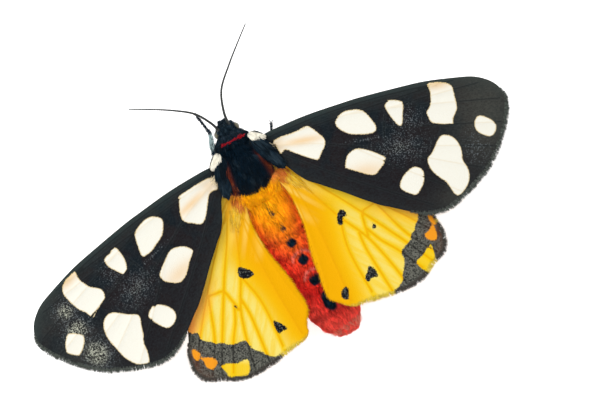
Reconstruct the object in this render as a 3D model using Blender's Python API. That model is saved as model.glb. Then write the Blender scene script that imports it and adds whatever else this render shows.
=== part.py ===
"""A still, life-size cream-spot tiger moth, wings spread, standing on its six feet."""

import math

import bmesh
import bpy
from mathutils import Matrix, Vector
from mathutils.geometry import delaunay_2d_cdt

# A place is (lateral, forward, height) in millimetres. Lateral grows towards the moth's left
# and forward towards its head, from the middle of the back; height is above the floor.
MM = 0.001
SIDES = {"left": 1, "right": -1}

# Clearance kept between nodes that touch on the real animal
GAP = 0.32

# Edges that turn by more degrees than this are shaded sharp
SHARP_ANGLE = 50

# Samples to each span of a smoothed route, the distance at which points count as one, the
# closest that a plate's plan points lie, and for its grid's points the share of a grid step
ROUTE_STEPS = 3
WELD = 0.00001
NEAREST_POINTS = 0.14
NEAREST_GRID_SHARE = 0.6

# The kind of result of delaunay_2d_cdt that keeps the triangles inside the outline
INSIDE_ONLY = 1

# Body
THORAX_AT = (0.2, -0.25, 6.5)
THORAX_RADII = (2.75, 2.75, 3.1)
HEAD_AT = (0.12, 4.75, 6.2)
HEAD_RADII = (1.2, 1.15, 1.2)
EYE_RADIUS = 0.5
EYE_OUT = 0.97
EYE_BACK = 0.2
COLLAR_AT = (0.15, 3.0, 6.7)
COLLAR_RADII = (2.05, 1.15, 1.95)

# Palps: (lateral from the middle of the head, forward, height) from root to tip
PALP_LINE = [(0.4, 5.0, 5.1), (0.42, 5.7, 4.95), (0.4, 6.15, 5.25)]
PALP_RADIUS = 0.34
PALP_TAPER = 0.55

# The abdomen's middle line with its half width: (lateral, forward, height, half width)
ABDOMEN_LINE = [
    (0.15, -2.4, 5.2, 2.0), (0.1, -3.6, 4.95, 2.55), (-0.15, -6.5, 4.4, 3.0),
    (-0.55, -10.0, 3.75, 3.1), (-0.95, -13.5, 3.4, 3.1), (-1.3, -16.8, 3.25, 2.9),
    (-1.6, -18.7, 3.1, 2.5), (-1.75, -19.8, 3.05, 1.7), (-1.8, -20.5, 3.0, 0.8),
]
ABDOMEN_FLATNESS = 0.88
SEGMENT_LENGTH = 2.35
SEGMENT_GROOVE = 0.14
FOLD_SHARPNESS = 6
ABDOMEN_SIDES = 20
ABDOMEN_STEPS = 3

# A lock of hair from root to tip: (share of its length, rise above the skin in millimetres,
# share of its full width and thickness)
LOCK_STEPS = [
    (-0.3, -0.5, 0.8), (0.08, 0.0, 1.0), (0.38, 0.16, 0.95), (0.7, 0.2, 0.65), (1.0, 0.2, 0.14),
]
LOCK_HALF_THICKNESS = 0.25

# Rows of locks over the back: (forward, lateral offsets from the middle, length)
THORAX_COAT = [
    (1.5, (-1.0, 0.0, 1.0), 2.0), (0.6, (-1.25, -0.45, 0.45, 1.25), 2.0),
    (-0.3, (-0.9, 0.0, 0.9), 2.1), (-1.2, (-1.3, -0.45, 0.45, 1.3), 1.9),
    (-2.0, (-0.85, 0.0, 0.85), 1.6),
]
THORAX_LOCK_HALF_WIDTH = 0.5
THORAX_LOCK_BEND = 0.13

# Locks at each tegula's hind end: (x, where its root is along y, where its tip is)
TEGULA_COAT = [(-0.42, -0.9, -3.1), (0.0, -1.3, -3.8), (0.42, -0.9, -3.3)]
TEGULA_LOCK_HALF_WIDTH = 0.36

# Rings of locks round the abdomen: (share of its length, angles from the left flank up over
# the back in degrees, length, half width)
ABDOMEN_COAT = [
    (0.12, (58, 90, 122), 1.9, 0.6), (0.18, (72, 108), 1.9, 0.6),
    (0.24, (58, 90, 122), 1.9, 0.6), (0.3, (72, 108), 1.9, 0.6),
    (0.3, (5, 175), 1.9, 0.5), (0.43, (5, 175), 1.9, 0.5), (0.56, (5, 175), 1.9, 0.5),
    (0.69, (5, 175), 1.9, 0.5), (0.8, (0, 40, 140, 180), 2.2, 0.6),
    (0.88, (15, 52, 90, 128, 165, 205, 245, 295, 335), 2.1, 0.55),
    (0.96, (0, 60, 120, 180, 240, 300), 1.5, 0.45),
]
ABDOMEN_LOCK_BEND = 0.05
ANGLE_STEP = 0.1

# Wings: each lies in its own plan, x outwards from the hinge and y towards the head
WING_THICKNESS = 0.5
WING_GRID = 2.6
VEIN_HEIGHT = 0.12
VEIN_HALF_WIDTH = 0.3
VEIN_FOOT_CLEAR = 0.24
WING_LEVEL = 8.6
WING_REACH = 28.0
WING_ARCH = 0.35
WING_DROOP = 1.3
ROOT_DIP = 0.8
ROOT_DIP_AT = (2.0, 0.5)
ROOT_DIP_SPREAD = 2.5
HINDWING_DROP = 1.15
FOREWING_SWEEP = 17.0
HINDWING_SWEEP = 55.0
FOREWING_HINGE = {"left": (4.11, 0.88), "right": (3.72, 1.42)}
HINDWING_HINGE = {"left": (2.82, -2.21), "right": (3.30, -1.46)}

FOREWING_OUTLINE = [
    (-2.4, 0.2), (-0.7, 0.8), (4.0, 1.95), (10.0, 2.8), (17.0, 3.25), (22.0, 2.9),
    (24.3, 1.8), (25.35, 0.0), (24.7, -2.7), (23.4, -5.2), (21.0, -7.95), (18.0, -10.1),
    (16.0, -10.7), (13.0, -10.05), (8.0, -7.7), (4.0, -5.45), (2.0, -4.1), (0.5, -2.5),
    (-1.0, -1.7), (-2.4, -1.5),
]
HINDWING_OUTLINE = [
    (-2.6, 0.1), (-0.6, 0.6), (3.0, 1.8), (7.0, 2.8), (11.0, 3.4), (14.0, 3.4),
    (16.6, 2.9), (18.2, 2.0), (19.4, 0.6), (19.3, -0.9), (19.0, -2.8), (17.8, -5.3),
    (15.9, -7.35), (14.1, -9.2), (12.5, -9.8), (11.0, -9.8), (9.7, -9.05), (8.0, -7.5),
    (5.0, -4.3), (2.0, -1.9), (0.3, -0.9), (-2.6, -0.8),
]
FOREWING_VEINS = [
    [(-0.4, 0.35), (5.0, 1.55), (10.0, 2.25), (15.0, 2.65)],
    [(-0.4, -0.15), (4.0, 0.6), (8.5, 1.25), (13.0, 1.9), (18.0, 2.6)],
    [(8.5, 1.25), (12.5, 1.15), (18.0, 1.7), (22.6, 2.1)],
    [(12.5, 1.15), (18.0, 0.7), (24.3, 0.1)],
    [(-0.4, -0.6), (4.0, -1.1), (8.0, -2.1), (11.8, -3.0)],
    [(12.5, 1.15), (11.9, -0.8), (11.8, -3.0)],
    [(11.9, -0.8), (18.0, -1.6), (24.0, -2.4)],
    [(11.8, -3.0), (17.0, -3.7), (22.9, -4.8)],
    [(11.8, -3.0), (16.5, -5.0), (21.3, -6.9)],
    [(8.0, -2.1), (13.0, -5.4), (18.6, -8.9)],
    [(0.2, -1.2), (4.0, -3.6), (9.0, -6.4), (15.4, -9.7)],
]
HINDWING_VEINS = [
    [(0.0, 0.55), (5.0, 1.7), (10.0, 2.55), (15.0, 2.6)],
    [(0.0, 0.3), (5.0, 0.9), (10.6, 1.3), (16.5, 1.7)],
    [(10.6, 1.3), (14.0, 0.4), (18.4, -0.3)],
    [(10.6, 1.3), (9.8, -0.1), (11.2, -2.3)],
    [(9.8, -0.1), (13.0, -0.7), (18.3, -1.8)],
    [(0.0, 0.0), (5.0, -1.1), (8.3, -1.9), (11.2, -2.3), (15.0, -3.5), (18.0, -4.0)],
    [(11.2, -2.3), (14.0, -4.5), (16.8, -6.0)],
    [(8.3, -1.9), (11.0, -4.9), (14.7, -7.8)],
    [(0.2, -0.3), (4.0, -2.5), (8.0, -5.2), (12.6, -9.0)],
    [(1.6, -1.1), (5.5, -4.2), (9.6, -8.3)],
]

# Plan of a tegula, the flap over a forewing's root
TEGULA_AT = {"left": (2.68, 0.4), "right": (2.74, 0.6)}
TEGULA_HALF_LENGTH = 2.65
TEGULA_HALF_WIDTH = 0.85
TEGULA_TURN = {"left": 14.0, "right": 20.0}
TEGULA_RIM = 0.3
TEGULA_RISE = 0.55
TEGULA_SIDES = 24
TEGULA_GRID = 0.5
TEGULA_LOCK_LIFT = 0.04

# Antennae: (lateral, forward, height) along each, and their radius at the root and the tip
ANTENNA_LINES = {
    "left": [(0.85, 4.95, 6.9), (1.28, 6.1, 7.25), (2.36, 7.7, 7.6), (4.14, 9.0, 7.8),
             (6.2, 10.2, 7.7), (8.37, 11.3, 7.4)],
    "right": [(-0.4, 4.95, 6.9), (-0.55, 6.5, 7.25), (-1.42, 8.7, 7.6), (-3.39, 10.7, 7.8),
              (-5.2, 12.3, 7.7), (-6.9, 13.75, 7.4)],
}
ANTENNA_RADIUS = 0.25
ANTENNA_TIP_RADIUS = 0.13

# Legs: hip, trochanter, knee, ankle, heel and toe, each (lateral, forward, height)
FOOT_LEVEL = 0.2
LEG_RADII = (0.5, 0.46, 0.42, 0.36, 0.28, 0.27)
LEG_LINES = {
    "leg_fore_left": [(1.2, 1.2, 4.6), (1.5, 1.7, 3.2), (2.45, 3.05, 3.7),
                      (1.95, 5.0, 1.5), (2.02, 6.0, FOOT_LEVEL), (2.36, 7.7, FOOT_LEVEL)],
    "leg_fore_right": [(-1.0, 1.0, 4.6), (-1.4, 1.0, 3.1), (-3.2, 0.3, 3.7),
                       (-3.75, 1.2, 1.4), (-3.95, 2.1, FOOT_LEVEL), (-4.5, 3.3, FOOT_LEVEL)],
    "leg_mid_left": [(1.5, -0.6, 4.5), (2.2, -0.8, 3.1), (5.4, -1.0, 5.0),
                     (7.6, -1.7, 1.6), (8.1, -1.9, FOOT_LEVEL), (9.5, -2.4, FOOT_LEVEL)],
    "leg_mid_right": [(-1.1, -0.6, 4.5), (-1.9, -0.8, 3.1), (-5.2, -1.0, 5.0),
                      (-7.4, -1.7, 1.6), (-7.9, -1.9, FOOT_LEVEL), (-9.3, -2.4, FOOT_LEVEL)],
    "leg_hind_left": [(1.0, -1.4, 4.3), (1.7, -2.6, 2.3), (4.4, -5.6, 3.9),
                      (5.7, -9.3, 1.5), (5.9, -10.0, FOOT_LEVEL), (6.6, -11.7, FOOT_LEVEL)],
    "leg_hind_right": [(-0.8, -1.4, 4.3), (-1.5, -2.6, 2.3), (-4.2, -5.6, 3.9),
                       (-5.7, -9.3, 1.5), (-5.9, -10.0, FOOT_LEVEL), (-6.6, -11.7, FOOT_LEVEL)],
}

# Block below the floor that cuts the feet flat
FLOOR_SLAB = (60.0, 60.0, 4.0)

COLOURS = {
    "black_fur": ((0.012, 0.013, 0.016), 0.85),
    "black_shell": ((0.02, 0.02, 0.022), 0.45),
    "eye": ((0.09, 0.075, 0.06), 0.2),
    "red_fur": ((0.72, 0.07, 0.04), 0.8),
    "black_wing": ((0.02, 0.02, 0.024), 0.7),
    "yellow_wing": ((0.95, 0.6, 0.04), 0.7),
}


def clear_scene():
    for thing in list(bpy.data.objects):
        bpy.data.objects.remove(thing, do_unlink=True)


def new_collection(name):
    group = bpy.data.collections.new(name)
    bpy.context.scene.collection.children.link(group)
    return group


def finish(name):
    """One Principled material from the table of colours."""
    colour, roughness = COLOURS[name]
    made = bpy.data.materials.new(name)
    made.use_nodes = True
    shader = made.node_tree.nodes["Principled BSDF"]
    shader.inputs["Base Color"].default_value = (*colour, 1.0)
    shader.inputs["Roughness"].default_value = roughness
    shader.inputs["Metallic"].default_value = 0.0
    return made


def metres(place):
    lateral, forward, height = place
    return Vector((lateral, -forward, height)) * MM


def smooth_route(points, steps, closed=False):
    """Samples of a Catmull-Rom curve through the points, steps to each span."""
    count = len(points)
    samples = []
    for span in range(count if closed else count - 1):
        near = []
        for shift in (-1, 0, 1, 2):
            index = span + shift
            near.append(points[index % count if closed else min(max(index, 0), count - 1)])
        for step in range(steps):
            t = step / steps
            samples.append(tuple(
                0.5 * (2 * b + (c - a) * t + (2 * a - 5 * b + 4 * c - d) * t ** 2
                       + (3 * b - a - 3 * c + d) * t ** 3)
                for a, b, c, d in zip(*near)))
    if not closed:
        samples.append(tuple(points[-1]))
    return samples


def add_node(name, mesh_source, group, root, colour):
    """An object of the moth from a bmesh, shaded smooth, with its own material."""
    mesh = bpy.data.meshes.new(name)
    bmesh.ops.recalc_face_normals(mesh_source, faces=mesh_source.faces)
    mesh_source.to_mesh(mesh)
    mesh_source.free()
    mesh.shade_smooth()
    mesh.set_sharp_from_angle(angle=math.radians(SHARP_ANGLE))
    node = bpy.data.objects.new(name, mesh)
    node.parent = root
    if colour:
        mesh.materials.append(finish(colour))
    group.objects.link(node)
    return node


def ellipsoid(place, radii, segments=20, rings=12):
    shape = bmesh.new()
    bmesh.ops.create_uvsphere(shape, u_segments=segments, v_segments=rings, radius=1.0)
    size = Matrix.Diagonal((*(r * MM for r in radii), 1.0))
    bmesh.ops.transform(shape, matrix=Matrix.Translation(metres(place)) @ size,
                        verts=shape.verts)
    return shape


def add_cutter(name, shape, group, root):
    cutter = add_node(name, shape, group, root, None)
    cutter.hide_render = True
    cutter.display_type = "WIRE"
    return cutter


def cut(node, *cutters):
    for cutter in cutters:
        trim = node.modifiers.new(cutter.name, "BOOLEAN")
        trim.operation = "DIFFERENCE"
        trim.object = cutter


def loft(rings):
    """A closed body over rings of equally many places, with its two ends capped."""
    shape = bmesh.new()
    rows = [[shape.verts.new(place) for place in ring] for ring in rings]
    for row, following in zip(rows, rows[1:]):
        for i in range(len(row)):
            j = (i + 1) % len(row)
            shape.faces.new((row[i], row[j], following[j], following[i]))
    shape.faces.new(rows[0])
    shape.faces.new(rows[-1])
    return shape


def tube(route, radii):
    """A tapering tube along a route, as a bmesh: a bevelled curve with its caps welded on."""
    line = bpy.data.curves.new("route", "CURVE")
    line.dimensions = "3D"
    line.bevel_depth = MM
    line.bevel_resolution = 2
    line.use_fill_caps = True
    spline = line.splines.new("POLY")
    spline.points.add(len(route) - 1)
    for point, place, radius in zip(spline.points, route, radii):
        point.co = (*metres(place), 1.0)
        point.radius = radius
    carrier = bpy.data.objects.new("route", line)
    bpy.context.scene.collection.objects.link(carrier)
    bpy.context.view_layer.update()
    seen = carrier.evaluated_get(bpy.context.evaluated_depsgraph_get())
    mesh = bpy.data.meshes.new_from_object(seen)
    shape = bmesh.new()
    shape.from_mesh(mesh)
    bmesh.ops.remove_doubles(shape, verts=shape.verts, dist=WELD)
    bpy.data.objects.remove(carrier)
    bpy.data.curves.remove(line)
    bpy.data.meshes.remove(mesh)
    return shape


def distance_to_route(x, y, route):
    """Shortest plan distance from (x, y) to a broken line."""
    here = Vector((x, y))
    best = math.inf
    for start, end in zip(route, route[1:]):
        start, along = Vector(start), Vector(end) - Vector(start)
        t = min(max((here - start).dot(along) / along.length_squared, 0.0), 1.0)
        best = min(best, (here - start - along * t).length)
    return best


def is_inside(x, y, outline):
    inside = False
    for (ax, ay), (bx, by) in zip(outline, outline[1:] + outline[:1]):
        if (ay > y) != (by > y) and x < ax + (bx - ax) * (y - ay) / (by - ay):
            inside = not inside
    return inside


def plate(outline, lines, grid_step, place_of, under, over):
    """A thin closed body over a plan outline, its two faces split into triangles alike.

    lines are plan routes that edges must follow, place_of turns plan into (lateral, forward),
    and under and over give the two faces' heights at a plan point.
    """
    points = []
    edges = []

    def vertex(place, reach=NEAREST_POINTS):
        here = Vector(place)
        for index, other in enumerate(points):
            if (here - other).length < reach:
                return index
        points.append(here)
        return len(points) - 1

    def follow(route, closed=False):
        ids = [vertex(place) for place in route]
        if closed:
            ids.append(ids[0])
        edges.extend((a, b) for a, b in zip(ids, ids[1:]) if a != b)

    follow(outline, closed=True)
    for route in lines:
        follow(route)
    xs = [place[0] for place in outline]
    ys = [place[1] for place in outline]
    for i in range(1, int((max(xs) - min(xs)) / grid_step) + 1):
        for j in range(1, int((max(ys) - min(ys)) / grid_step) + 1):
            x = min(xs) + i * grid_step
            y = min(ys) + j * grid_step
            if is_inside(x, y, outline):
                vertex((x, y), reach=grid_step * NEAREST_GRID_SHARE)
    spots, _, faces, *_ = delaunay_2d_cdt(points, edges, [], INSIDE_ONLY, WELD)

    shape = bmesh.new()
    upper = [shape.verts.new(metres((*place_of(x, y), over(x, y)))) for x, y in spots]
    lower = [shape.verts.new(metres((*place_of(x, y), under(x, y)))) for x, y in spots]
    for face in faces:
        shape.faces.new([upper[i] for i in face])
        shape.faces.new([lower[i] for i in reversed(face)])
    rim = {}
    for face in faces:
        for a, b in zip(face, face[1:] + face[:1]):
            rim[frozenset((a, b))] = rim.get(frozenset((a, b)), 0) + 1
    for a, b in (tuple(edge) for edge, uses in rim.items() if uses == 1):
        shape.faces.new((upper[a], upper[b], lower[b], lower[a]))
    return shape


def wing_height(out, forward):
    """Height of the forewings' middle surface; the hindwings' lies HINDWING_DROP lower."""
    reach = out / WING_REACH
    arch = WING_ARCH * math.sin(math.pi * min(max(reach, 0.0), 1.0))
    droop = WING_DROOP * abs(reach) ** 3
    away = (out - ROOT_DIP_AT[0]) ** 2 + (forward - ROOT_DIP_AT[1]) ** 2
    return WING_LEVEL + arch - droop - ROOT_DIP * math.exp(-away / ROOT_DIP_SPREAD ** 2)


def wing_shape(side, hinge, sweep, outline_points, vein_points, drop):
    """A wing as one membrane with its main veins raised on both faces."""
    turn = math.radians(sweep)
    outline = smooth_route(outline_points, ROUTE_STEPS, closed=True)
    veins = [smooth_route(points, ROUTE_STEPS) for points in vein_points]

    def plan(x, y):
        out = hinge[0] + x * math.cos(turn) + y * math.sin(turn)
        forward = hinge[1] - x * math.sin(turn) + y * math.cos(turn)
        return out, forward

    def place_of(x, y):
        out, forward = plan(x, y)
        return SIDES[side] * out, forward

    def half_thickness(x, y):
        near = min(distance_to_route(x, y, vein) for vein in veins)
        return WING_THICKNESS / 2 + VEIN_HEIGHT * max(0.0, 1.0 - near / VEIN_HALF_WIDTH)

    def over(x, y):
        return wing_height(*plan(x, y)) - drop + half_thickness(x, y)

    def under(x, y):
        return wing_height(*plan(x, y)) - drop - half_thickness(x, y)

    def vein_feet(vein, way):
        """The line along one foot of a vein's ridge, left out where another vein is near."""
        feet = []
        for index, spot in enumerate(vein):
            before = Vector(vein[max(index - 1, 0)])
            after = Vector(vein[min(index + 1, len(vein) - 1)])
            along = (after - before).normalized()
            foot = Vector(spot) + way * VEIN_HALF_WIDTH * Vector((-along.y, along.x))
            clear = min(distance_to_route(*foot, other) for other in veins)
            if clear > VEIN_FOOT_CLEAR and is_inside(*foot, outline):
                feet.append(tuple(foot))
        return feet

    lines = list(veins)
    for vein in veins:
        lines += [vein_feet(vein, way) for way in (1, -1)]
    return plate(outline, lines, WING_GRID, place_of, under, over)


def tegula_place(side, x, y):
    """(lateral, forward) of a point in a tegula's own plan."""
    turn = math.radians(TEGULA_TURN[side])
    out = TEGULA_AT[side][0] + x * math.cos(turn) - y * math.sin(turn)
    forward = TEGULA_AT[side][1] + x * math.sin(turn) + y * math.cos(turn)
    return SIDES[side] * out, forward


def above_wing(lateral, forward):
    """The lowest height that stays clear of the forewing's upper face."""
    return wing_height(abs(lateral), forward) + WING_THICKNESS / 2 + VEIN_HEIGHT + GAP


def tegula_shape(side):
    """A domed flap that follows the forewing's root just above it."""
    outline = []
    for step in range(TEGULA_SIDES):
        angle = math.tau * step / TEGULA_SIDES
        outline.append((TEGULA_HALF_WIDTH * math.cos(angle), TEGULA_HALF_LENGTH * math.sin(angle)))

    def place_of(x, y):
        return tegula_place(side, x, y)

    def under(x, y):
        return above_wing(*place_of(x, y))

    def over(x, y):
        rim = (x / TEGULA_HALF_WIDTH) ** 2 + (y / TEGULA_HALF_LENGTH) ** 2
        return under(x, y) + TEGULA_RIM + TEGULA_RISE * math.sqrt(max(1.0 - rim, 0.0))

    return plate(outline, [], TEGULA_GRID, place_of, under, over)


def abdomen_rings():
    """Rings along the abdomen: its middle, the way along, across and up, and its half width."""
    line = smooth_route(ABDOMEN_LINE, ABDOMEN_STEPS)
    rings = []
    walked = 0.0
    for index, (*spot, half_width) in enumerate(line):
        before = Vector(line[max(index - 1, 0)][:3])
        after = Vector(line[min(index + 1, len(line) - 1)][:3])
        along = (after - before).normalized()
        if index:
            walked += (Vector(spot) - Vector(line[index - 1][:3])).length
        fold = abs(math.cos(math.pi * walked / SEGMENT_LENGTH)) ** FOLD_SHARPNESS
        across = Vector((-along.y, along.x, 0.0)).normalized()
        up = along.cross(across)
        rings.append((Vector(spot), along, across, up, half_width - SEGMENT_GROOVE * fold))
    return rings


def ring_place(ring, angle):
    """A place on a ring of the abdomen, the angle running from the left flank up."""
    middle, _, across, up, radius = ring
    return middle + radius * (across * math.cos(angle) + up * ABDOMEN_FLATNESS * math.sin(angle))


def abdomen_shape():
    """The abdomen as a loft, its half width pinched in between the segments."""
    places = []
    for ring in abdomen_rings():
        angles = [math.tau * step / ABDOMEN_SIDES for step in range(ABDOMEN_SIDES)]
        places.append([metres(ring_place(ring, angle)) for angle in angles])
    return loft(places)


def lock_shape(places, up, half_width):
    """A flat lock with a pointed tip through the given places."""
    rings = []
    for index, (place, (_, _, share)) in enumerate(zip(places, LOCK_STEPS)):
        along = places[min(index + 1, len(places) - 1)] - places[max(index - 1, 0)]
        across = along.cross(up).normalized() * half_width * share
        rise = across.cross(along).normalized() * LOCK_HALF_THICKNESS * share
        ring = (place + across, place + rise, place - across, place - rise)
        rings.append([metres(spot) for spot in ring])
    return loft(rings)


def lying_lock(root, along, normal, length, half_width, bend):
    """A lock that leaves the skin at root and bends with it, as the skin falls away."""
    places = []
    for share, rise, _ in LOCK_STEPS:
        walked = share * length
        fall = bend * max(walked, 0.0) ** 2
        places.append(root + along * walked + normal * (rise - fall))
    return lock_shape(places, normal, half_width)


def thorax_locks():
    middle, radii = Vector(THORAX_AT), Vector(THORAX_RADII)
    locks = []
    for forward, offsets, length in THORAX_COAT:
        for offset in offsets:
            x = offset / radii.x
            y = (forward - middle.y) / radii.y
            z = math.sqrt(1.0 - x * x - y * y)
            normal = Vector((x / radii.x, y / radii.y, z / radii.z)).normalized()
            backward = Vector((0.0, -1.0, 0.0))
            along = (backward - normal * normal.dot(backward)).normalized()
            root = middle + Vector((x * radii.x, y * radii.y, z * radii.z))
            locks.append(lying_lock(root, along, normal, length, THORAX_LOCK_HALF_WIDTH,
                                    THORAX_LOCK_BEND))
    return locks


def tegula_locks(side):
    locks = []
    for x, root_y, tip_y in TEGULA_COAT:
        places = []
        for share, _, _ in LOCK_STEPS:
            lateral, forward = tegula_place(side, x, root_y + (tip_y - root_y) * share)
            height = above_wing(lateral, forward) + LOCK_HALF_THICKNESS + TEGULA_LOCK_LIFT
            places.append(Vector((lateral, forward, height)))
        locks.append(lock_shape(places, Vector((0.0, 0.0, 1.0)), TEGULA_LOCK_HALF_WIDTH))
    return locks


def abdomen_locks():
    rings = abdomen_rings()
    locks = []
    for share, angles, length, half_width in ABDOMEN_COAT:
        index = round(share * (len(rings) - 1))
        ring = rings[index]
        for angle in map(math.radians, angles):
            root = ring_place(ring, angle)
            following = ring_place(rings[min(index + 1, len(rings) - 1)], angle)
            along = (following - root).normalized()
            round_way = ring_place(ring, angle + ANGLE_STEP) - ring_place(ring, angle - ANGLE_STEP)
            normal = round_way.cross(along).normalized()
            locks.append(lying_lock(root, along, normal, length, half_width,
                                    ABDOMEN_LOCK_BEND))
    return locks


def keep_largest(node):
    """Drops every part of a node's mesh but the one with the most faces."""
    shape = bmesh.new()
    shape.from_mesh(node.data)
    waiting = set(shape.faces)
    parts = []
    while waiting:
        part = {waiting.pop()}
        border = list(part)
        while border:
            for edge in border.pop().edges:
                for other in edge.link_faces:
                    if other not in part:
                        part.add(other)
                        border.append(other)
        waiting -= part
        parts.append(part)
    largest = max(parts, key=len)
    loose = [face for part in parts if part is not largest for face in part]
    bmesh.ops.delete(shape, geom=loose, context="FACES")
    shape.to_mesh(node.data)
    shape.free()


def fuse(node, shapes):
    """Joins closed shapes to a node by one Boolean union on a collection of them."""
    pieces = new_collection(f"{node.name}_pieces")
    for index, shape in enumerate(shapes):
        mesh = bpy.data.meshes.new(f"{node.name}_piece_{index}")
        bmesh.ops.recalc_face_normals(shape, faces=shape.faces)
        shape.to_mesh(mesh)
        shape.free()
        pieces.objects.link(bpy.data.objects.new(mesh.name, mesh))
    union = node.modifiers.new("fuse", "BOOLEAN")
    union.operation = "UNION"
    union.operand_type = "COLLECTION"
    union.collection = pieces
    bpy.context.view_layer.update()
    seen = node.evaluated_get(bpy.context.evaluated_depsgraph_get())
    fused = bpy.data.meshes.new_from_object(seen)
    node.modifiers.remove(union)
    plain = node.data
    node.data = fused
    bpy.data.meshes.remove(plain)
    for piece in list(pieces.objects):
        bpy.data.objects.remove(piece)
    bpy.data.collections.remove(pieces)
    keep_largest(node)
    fused.shade_smooth()
    fused.set_sharp_from_angle(angle=math.radians(SHARP_ANGLE))


def leg_shape(line):
    stations = [(*place, radius) for place, radius in zip(line, LEG_RADII)]
    route = smooth_route(stations, ROUTE_STEPS)
    return tube([sample[:3] for sample in route], [sample[3] for sample in route])


def antenna_shape(side):
    route = smooth_route(ANTENNA_LINES[side], ROUTE_STEPS + 1)
    last = len(route) - 1
    radii = [ANTENNA_RADIUS + (ANTENNA_TIP_RADIUS - ANTENNA_RADIUS) * (i / last) ** 2
             for i in range(len(route))]
    return tube(route, radii)


def palp_shape(side):
    line = [(HEAD_AT[0] + SIDES[side] * out, forward, height)
            for out, forward, height in PALP_LINE]
    route = smooth_route(line, ROUTE_STEPS)
    last = len(route) - 1
    radii = [PALP_RADIUS * (1.0 - PALP_TAPER * (i / last) ** 2) for i in range(len(route))]
    return tube(route, radii)


def enlarged(radii):
    return tuple(radius + GAP for radius in radii)


def floor_slab():
    """A block whose top is the floor, which cuts the feet's flats."""
    shape = bmesh.new()
    bmesh.ops.create_cube(shape, size=1.0)
    size = Matrix.Diagonal((*(extent * MM for extent in FLOOR_SLAB), 1.0))
    sunk = Matrix.Translation((0.0, 0.0, -FLOOR_SLAB[2] / 2 * MM))
    bmesh.ops.transform(shape, matrix=sunk @ size, verts=shape.verts)
    return shape


def centre_on_floor(root, group):
    """Moves the moth's root so that its box is centred over the origin."""
    bpy.context.view_layer.update()
    seen = bpy.context.evaluated_depsgraph_get()
    corners = []
    for node in group.objects:
        if node.type != "MESH":
            continue
        mesh = node.evaluated_get(seen).to_mesh()
        corners += [node.matrix_world @ vertex.co for vertex in mesh.vertices]
    for axis in (0, 1):
        values = [corner[axis] for corner in corners]
        root.location[axis] = -(min(values) + max(values)) / 2


def main():
    clear_scene()
    moth = new_collection("cream_spot_tiger_moth")
    cutters = new_collection("cutters")
    root = bpy.data.objects.new("moth_root", None)
    moth.objects.link(root)

    def add_clear(name, place, radii):
        return add_cutter(name, ellipsoid(place, enlarged(radii)), cutters, root)

    thorax_clear = add_clear("thorax_clear", THORAX_AT, THORAX_RADII)
    head_clear = add_clear("head_clear", HEAD_AT, HEAD_RADII)
    floor_clear = add_cutter("floor_clear", floor_slab(), cutters, root)

    thorax = add_node("thorax", ellipsoid(THORAX_AT, THORAX_RADII), moth, root, "black_fur")
    fuse(thorax, thorax_locks())
    collar = add_node("collar", ellipsoid(COLLAR_AT, COLLAR_RADII), moth, root, "black_fur")
    cut(collar, thorax_clear, head_clear)
    head = add_node("head", ellipsoid(HEAD_AT, HEAD_RADII), moth, root, "black_fur")
    abdomen = add_node("abdomen", abdomen_shape(), moth, root, "red_fur")
    fuse(abdomen, abdomen_locks())
    cut(abdomen, thorax_clear)

    for side, sign in SIDES.items():
        eye_at = (HEAD_AT[0] + sign * EYE_OUT, HEAD_AT[1] - EYE_BACK, HEAD_AT[2])
        eye_radii = (EYE_RADIUS,) * 3
        add_node(f"eye_{side}", ellipsoid(eye_at, eye_radii), moth, root, "eye")
        eye_clear = add_clear(f"eye_{side}_clear", eye_at, eye_radii)
        cut(head, eye_clear)
        cut(collar, eye_clear)

        antenna = add_node(f"antenna_{side}", antenna_shape(side), moth, root, "black_shell")
        cut(antenna, head_clear)
        palp = add_node(f"palp_{side}", palp_shape(side), moth, root, "black_fur")
        cut(palp, head_clear)

        tegula = add_node(f"tegula_{side}", tegula_shape(side), moth, root, "black_fur")
        fuse(tegula, tegula_locks(side))
        cut(tegula, thorax_clear)

        forewing = add_node(f"forewing_{side}", wing_shape(
            side, FOREWING_HINGE[side], FOREWING_SWEEP, FOREWING_OUTLINE,
            FOREWING_VEINS, 0.0), moth, root, "black_wing")
        cut(forewing, thorax_clear)
        hindwing = add_node(f"hindwing_{side}", wing_shape(
            side, HINDWING_HINGE[side], HINDWING_SWEEP, HINDWING_OUTLINE,
            HINDWING_VEINS, HINDWING_DROP), moth, root, "yellow_wing")
        cut(hindwing, thorax_clear)

    for name, line in LEG_LINES.items():
        leg = add_node(name, leg_shape(line), moth, root, "black_fur")
        cut(leg, thorax_clear, floor_clear)

    centre_on_floor(root, moth)


main()
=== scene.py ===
"""Looks of the still cream-spot tiger moth: scaled wings, one skin, its coat, eyes and feelers."""

import math

import bmesh
import bpy
import numpy as np
from mathutils import Matrix, Vector
from mathutils.geometry import delaunay_2d_cdt
from mathutils.kdtree import KDTree


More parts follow.
